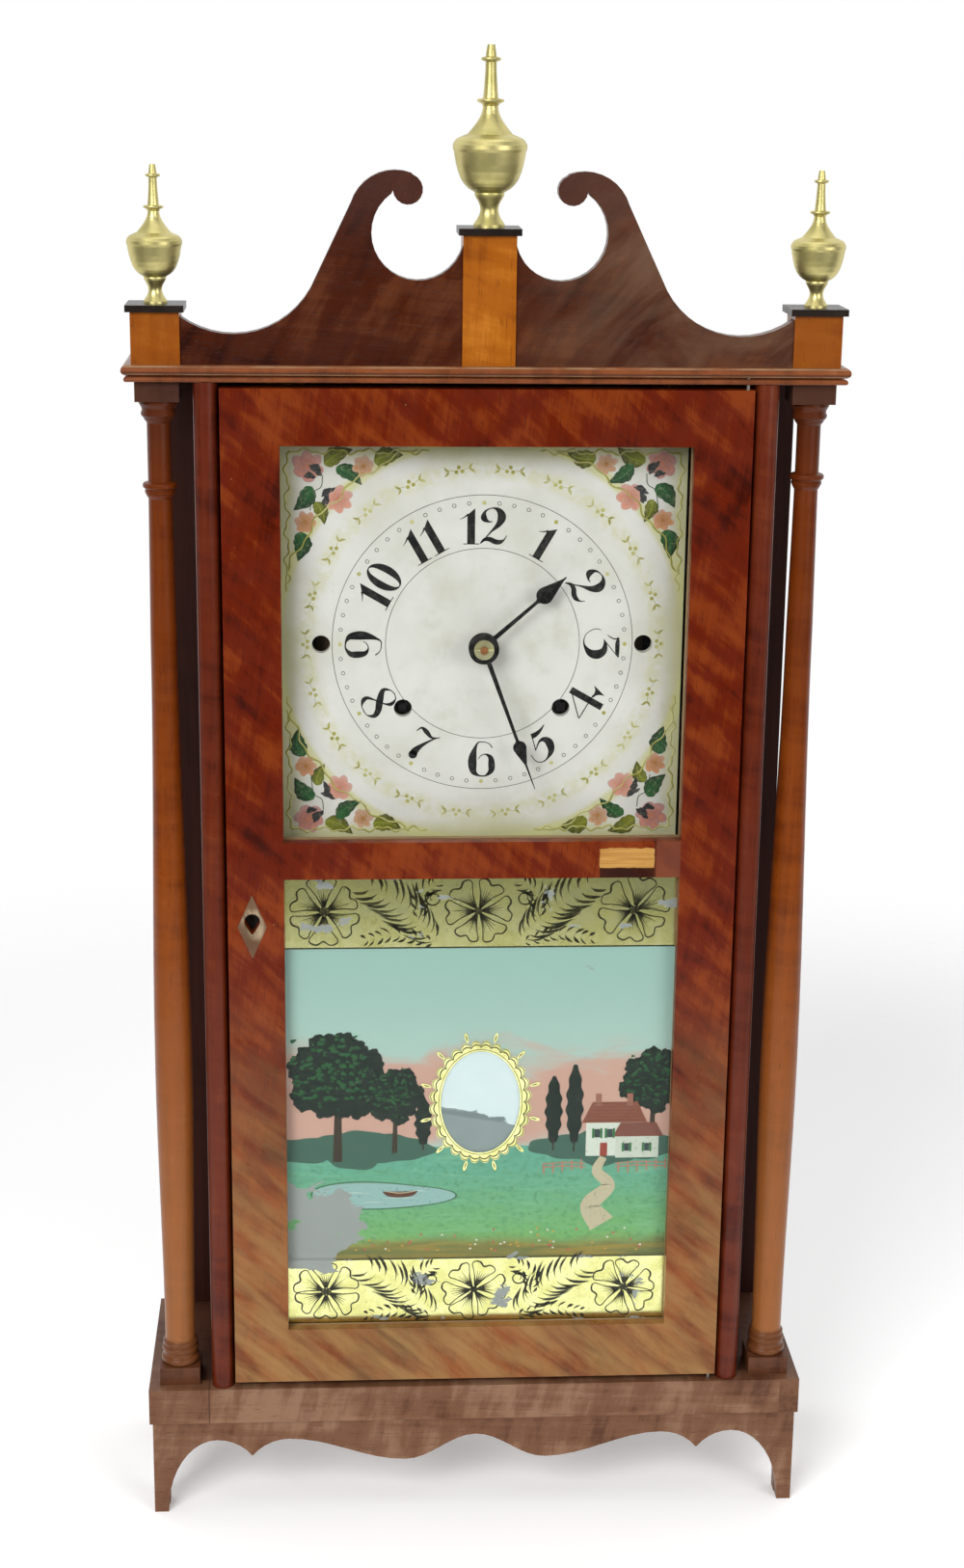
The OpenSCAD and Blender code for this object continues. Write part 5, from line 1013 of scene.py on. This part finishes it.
def numeral(hour):
    """The hour's digits side by side. In the lower half their feet point outwards, so they read upright."""
    drawn, across = [], 0.0
    for digit in str(hour):
        width, strokes = digits[digit]
        drawn += [grid + np.array([across, 0.0]) for grid in strokes]
        across += width + 0.02
    across -= 0.02
    a = np.pi / 2 - hour * np.pi / 6
    out, side = np.array([np.cos(a), np.sin(a)]), np.array([np.sin(a), -np.cos(a)])
    foot, way = (88.0, -1.0) if 4 <= hour <= 8 else (64.5, 1.0)
    turned = [(grid[..., :1] - across / 2) * side + grid[..., 1:] * out for grid in drawn]
    return [foot * out + way * 23.5 * grid for grid in turned]


black_paint, place = begin("black_paint")
thin = place.noise(0.003, 4, 0.6)
colour = thin.over(0.4, 0.8).tint(rgb(0.010, 0.010, 0.011), rgb(0.050, 0.048, 0.042))
finish(place, colour, thin * 0.2 + 0.30, more={"Specular IOR Level": 0.2})
black = [ring(96, 0.34), ring(62, 0.34)]
for hour in range(1, 13):
    black += numeral(hour)
for minute in range(60):
    if minute % 5:
        a = minute * np.pi / 30
        t = np.linspace(0, 2 * np.pi, 17)
        small = np.array([0.95, 1.30])[:, None, None] * np.stack([np.cos(t), np.sin(t)], -1)
        black.append(small + 91 * np.array([np.cos(a), np.sin(a)]))
carried("numerals", "case", [on_dial(grid) for grid in black], black_paint)

gilding, place = begin("dial_gilding")
leaf = place.noise(0.006, 5, 0.6)
rubbed_and_glint = place.noise(0.02, 5, 0.6).over(0.42, 0.62)
colour = leaf.over(0.3, 0.7).tint(rgb(0.46, 0.43, 0.10), rgb(0.30, 0.27, 0.05))
colour = (rubbed_and_glint * 0.6).tint(colour, rgb(0.60, 0.57, 0.30))
finish(place, colour, leaf * 0.2 + 0.38, leaf, 0.00004, {"Metallic": (1 - rubbed_and_glint) * 0.2})


def leaf_shape(at, length, width, angle, teeth=0, count=25):
    """A pointed leaf from its foot: half the width follows a sine, with small teeth along it."""
    t = np.linspace(0, 1, count)
    toothed = 1 + 0.16 * np.abs(np.sin(teeth * np.pi * t)) * (teeth > 0)
    half = width / 2 * np.sin(np.pi * t ** 0.66) * toothed
    c, s = np.cos(angle), np.sin(angle)
    out = np.array([-s, c])
    spine = np.array([c, s]) * t[:, None] * length + 0.10 * length * np.sin(np.pi * t)[:, None] * out
    return np.stack([np.asarray(at) + spine + half[:, None] * out * k for k in (1, 0, -1)], 1)


faint = []
for hour in range(12):
    a = hour * np.pi / 6
    faint.append(ball(91 * np.cos(a), 91 * np.sin(a), 1.3))
for k in range(22):
    a = np.pi / 2 + (k + 0.5) * 2 * np.pi / 22
    out, side = np.array([np.cos(a), np.sin(a)]), np.array([-np.sin(a), np.cos(a)])
    middle = 112.5 * out
    for dx, dy in ((-1.9, -0.8), (1.9, -0.8), (0, 2.0)):
        faint.append(ball(*(middle + dx * side + dy * out), 1.25))
    for s in (-1, 1):
        tip = middle + s * 6.5 * side
        end = tip + s * 3.4 * side - 0.8 * out
        stalk = [(middle + s * 3.2 * side, 0.35), (tip + 0.6 * out, 0.3), (end, 0.15)]
        faint.append(stroke([(*point, width) for point, width in stalk], 9))
        for lift_angle in (0.9, -0.7):
            direction = np.arctan2(*(s * side * np.cos(lift_angle) + out * np.sin(lift_angle))[::-1])
            faint.append(leaf_shape(tip, 4.6, 1.5, direction, count=9))
t = np.linspace(0, 2 * np.pi, 721)
edge_x, edge_z = 127.0, 126.2
wave = 132 + 1.5 * np.sin(26 * t) + 0.8 * np.sin(61 * t)
round_line = wave[:, None] * np.stack([np.cos(t), np.sin(t)], -1)
inside = (np.abs(round_line[:, 0]) < edge_x - 1.5) & (np.abs(round_line[:, 1]) < edge_z - 1.5)
breaks = np.flatnonzero(np.diff(inside.astype(int)))
raised = []


def bead(path, width, height):
    """A raised line of gilded paste: its section rises in the middle like a low arch."""
    flat = ribbon(path, width)
    u = np.linspace(0, 1, 5)[None, :, None]
    section = (1 - u) * flat[:, :1] + u * flat[:, 1:]
    y = dial_y - 0.00002 - height * MM * np.sin(np.pi * np.linspace(0, 1, 5))
    grid = (section + dial_art) * MM
    return np.stack([grid[..., 0], np.broadcast_to(y, grid.shape[:2]), grid[..., 1]], -1)


for a, b in zip(breaks[:-1], breaks[1:]):
    if inside[(a + b) // 2]:
        raised.append(bead(round_line[a + 1:b + 1], 1.25, 0.45))
if inside[0]:
    joined = np.concatenate([round_line[breaks[-1] + 1:-1], round_line[:breaks[0] + 1]])
    raised.append(bead(joined, 1.25, 0.45))
for sx in (-1, 1):
    for sz in (-1, 1):
        for along_x in (True, False):
            d = np.linspace(2.5, 92, 160)
            inward = 3.2 + 1.3 * np.sin(d / 3.1) + 0.7 * np.sin(d / 1.3)
            x_in, z_in = (d, inward) if along_x else (inward, d)
            raised.append(bead(np.stack([sx * (edge_x - x_in), sz * (edge_z - z_in)], 1), 1.2, 0.4))
faint = [on_dial(grid, 0.00004) for grid in faint] + raised
carried("dial_gilding", "case", faint, gilding)

flower_paint, place = begin("flower_paint")
dab = place.noise(0.0022, 4, 0.6)
colour = place.add("Attribute", attribute_name="paint", out="Color")
colour = (dab.over(0.45, 0.8) * 0.3).tint(colour, rgb(0.62, 0.52, 0.36))
colour = ((1 - dab.over(0.22, 0.42)) * 0.35).tint(colour, rgb(0.05, 0.02, 0.01))
finish(place, colour, dab * 0.2 + 0.34, dab, 0.00005)
grids, tones = [], []


def paint(grid, colour, out):
    """A brush mark on the dial; a higher one lies further out."""
    grids.append(on_dial(grid, out * 0.00002 + len(grids) * 4e-7 + 0.00006))
    tones.append(np.array(colour, float))


def rose(at, r, start, heart, pale):
    """A round flower: loose outer petals with pale lips, smaller inner ones, and a deep heart."""
    rows = ((6, 0.60, 0.46, 1.0), (5, 0.36, 0.38, 0.9), (4, 0.16, 0.28, 0.8))
    for level, (count, reach, size, shade) in enumerate(rows):
        for k in range(count):
            a = start + level * 0.5 + k * 2 * np.pi / count
            centre = np.array(at) + reach * r * np.array([np.cos(a), np.sin(a)]) * chance.uniform(0.85, 1.1)
            petal = blob(centre, (size * r, size * r * 0.86), [(2, 0.06, a), (3, 0.08, k)], a, 25, 5)
            lip = np.linspace(0, 1, 5)[:, None] * (0.5 + 0.5 * np.cos(np.linspace(0, 2 * np.pi, 25)))
            tone = (1 - lip[..., None]) * np.array(heart) + lip[..., None] * np.array(pale)
            fade = 0.25 if level == 0 and np.sin(a) > 0 else 0.0
            tone = tone * shade * (1 - fade) + fade * np.array([0.42, 0.36, 0.38])
            paint(petal, tone, 2 + level + 0.1 * k)


def leaf(foot, tip, width, olive):
    """A toothed leaf from foot to tip, dark along one edge and at the tip, with a paler midrib."""
    way = np.subtract(tip, foot)
    shape = leaf_shape(foot, np.hypot(*way), width, np.arctan2(way[1], way[0]), 4)
    tone = np.array([0.150, 0.165, 0.008]) if olive else np.array([0.012, 0.085, 0.020])
    along = np.linspace(1.15, 0.35, len(shape))[:, None, None]
    paint(shape, along * np.array([0.45, 1.2, 1.0])[None, :, None] * tone, 1)
    paint(ribbon(shape[2:-4, 1], 0.4), tone * 1.9, 1.5)


pink, salmon, ochre = (0.48, 0.24, 0.24), (0.64, 0.22, 0.13), (0.50, 0.20, 0.035)
shade = (0.020, 0.022, 0.026)
roses = [((16.5, 12), 9.6, salmon, pink), ((51.5, 12), 6.6, ochre, (0.60, 0.40, 0.30)),
         ((36, 33), 8.6, salmon, (0.62, 0.34, 0.28)), ((15, 47.5), 6.8, ochre, (0.62, 0.31, 0.20))]
shades = [((22, 14), (4.6, 2.6), 0.8), ((18, 18), (3.4, 2.0), 0.2),
          ((29, 28), (4.6, 1.9), -0.5), ((28, 33), (2.0, 4.0), 0.3)]
leaves = [((27, 11), (45, 1.5), 10, 1), ((58, 9), (76.5, 5), 10.5, 1), ((34.5, 12.5), (50.5, 24), 9, 0),
          ((19.5, 25), (7.5, 40), 10, 0), ((21.5, 34.5), (27, 49), 8, 1), ((12.5, 53.5), (10, 72.5), 10.5, 0)]
for sx in (-1, 1):
    for sz in (-1, 1):
        flip = -np.array([sx, sz])
        corner = np.array([sx * 127.55, sz * 126.9]) + flip * chance.uniform(-1, 1, 2)
        stem = corner + flip * smooth([(26, 18), (25, 25), (20, 29), (18, 40)], 24)
        paint(ribbon(stem, 0.6), (0.06, 0.11, 0.05), 0.5)
        for foot, tip, width, olive in leaves:
            leaf(corner + flip * foot, corner + flip * tip, width, olive)
        for at, r, heart, pale in roses:
            rose(corner + flip * at, r, chance.uniform(0, 6), heart, pale)
        for at, size, tilt in shades:
            dark = blob(corner + flip * at, size, [(3, 0.2, 1), (7, 0.1, 0)], flip[0] * flip[1] * tilt, 25)
            paint(dark, shade, 6)
carried("dial_flowers", "case", grids, flower_paint, tones)


# The hands: two of blackened steel filed to a drop near the point, held on the centre arbor by a
# brass collet and a cross pin.
blued = metal("blackened_steel", (0.060, 0.058, 0.056), (0.014, 0.013, 0.013), 0.42, 0.004, 0.00004)
wear("hour_hand", blued)
wear("minute_hand", blued)
wear("hand_collet", brass("collet_brass", (0.84, 0.80, 0.50), (0.52, 0.48, 0.26), 0.42))


# The movement: pine plates and cherry wheels turned and cut by hand, steel pivots, a brass escape
# wheel, and a pendulum with a brass faced bob. It is seen from behind the dial and from the sides.
def black_ends(place, colour):
    """The winding squares are black at their front ends, where they fill the holes of the dial."""
    y = place.axes()[1]
    return (1 - y.over(-0.016, -0.010)).tint(colour, rgb(0.006, 0.005, 0.006))


cherry_tones = ((0.23, 0.085, 0.028), (0.38, 0.17, 0.065), (0.52, 0.28, 0.12))
cherry = veneer("cherry", 0, cherry_tones, 0.7, rough=0.5)
for name in ("center", "hour", "minute", "third", "time_great", "hoop", "pin", "strike_great"):
    wear(name + "_wheel", cherry)
for name in ("time_pulley", "strike_pulley", "fly"):
    wear(name, cherry)
drum_cherry = veneer("drum_cherry", 0, cherry_tones, 0.7, rough=0.4, more=black_ends)
wear("time_drum", drum_cherry)
wear("strike_drum", drum_cherry)
for name in ("movement_frame", "weight_partitions"):
    wear(name, softwood(name + "_pine", 2, (0.50, 0.34, 0.18), (0.33, 0.19, 0.09)))
for name in ("escape_wheel", "pendulum_bob"):
    wear(name, old_brass)
for name in ("hammer", "time_weight", "strike_weight"):
    wear(name, cast_iron)
wear("bell", metal("bell_iron", (0.36, 0.31, 0.22), (0.17, 0.13, 0.08), 0.45, 0.012, 0.0001))


# The lines: twisted cord from each drum over its pulley down to the weight.
cord, place = begin("twisted_cord")
x, y, z = place.axes()
strand = (z * 1700 + x * 900 + y * 900).maths("SINE")
fuzz = place.noise((0.0012, 0.0012, 0.004), 4)
colour = (strand * 0.4 + fuzz).over(0.1, 0.9).tint(rgb(0.28, 0.21, 0.12), rgb(0.60, 0.50, 0.33))
finish(place, colour, fuzz * 0.1 + 0.8, strand, 0.0003)
for name in ("line_runs", "time_weight_line", "strike_weight_line"):
    wear(name, cord)
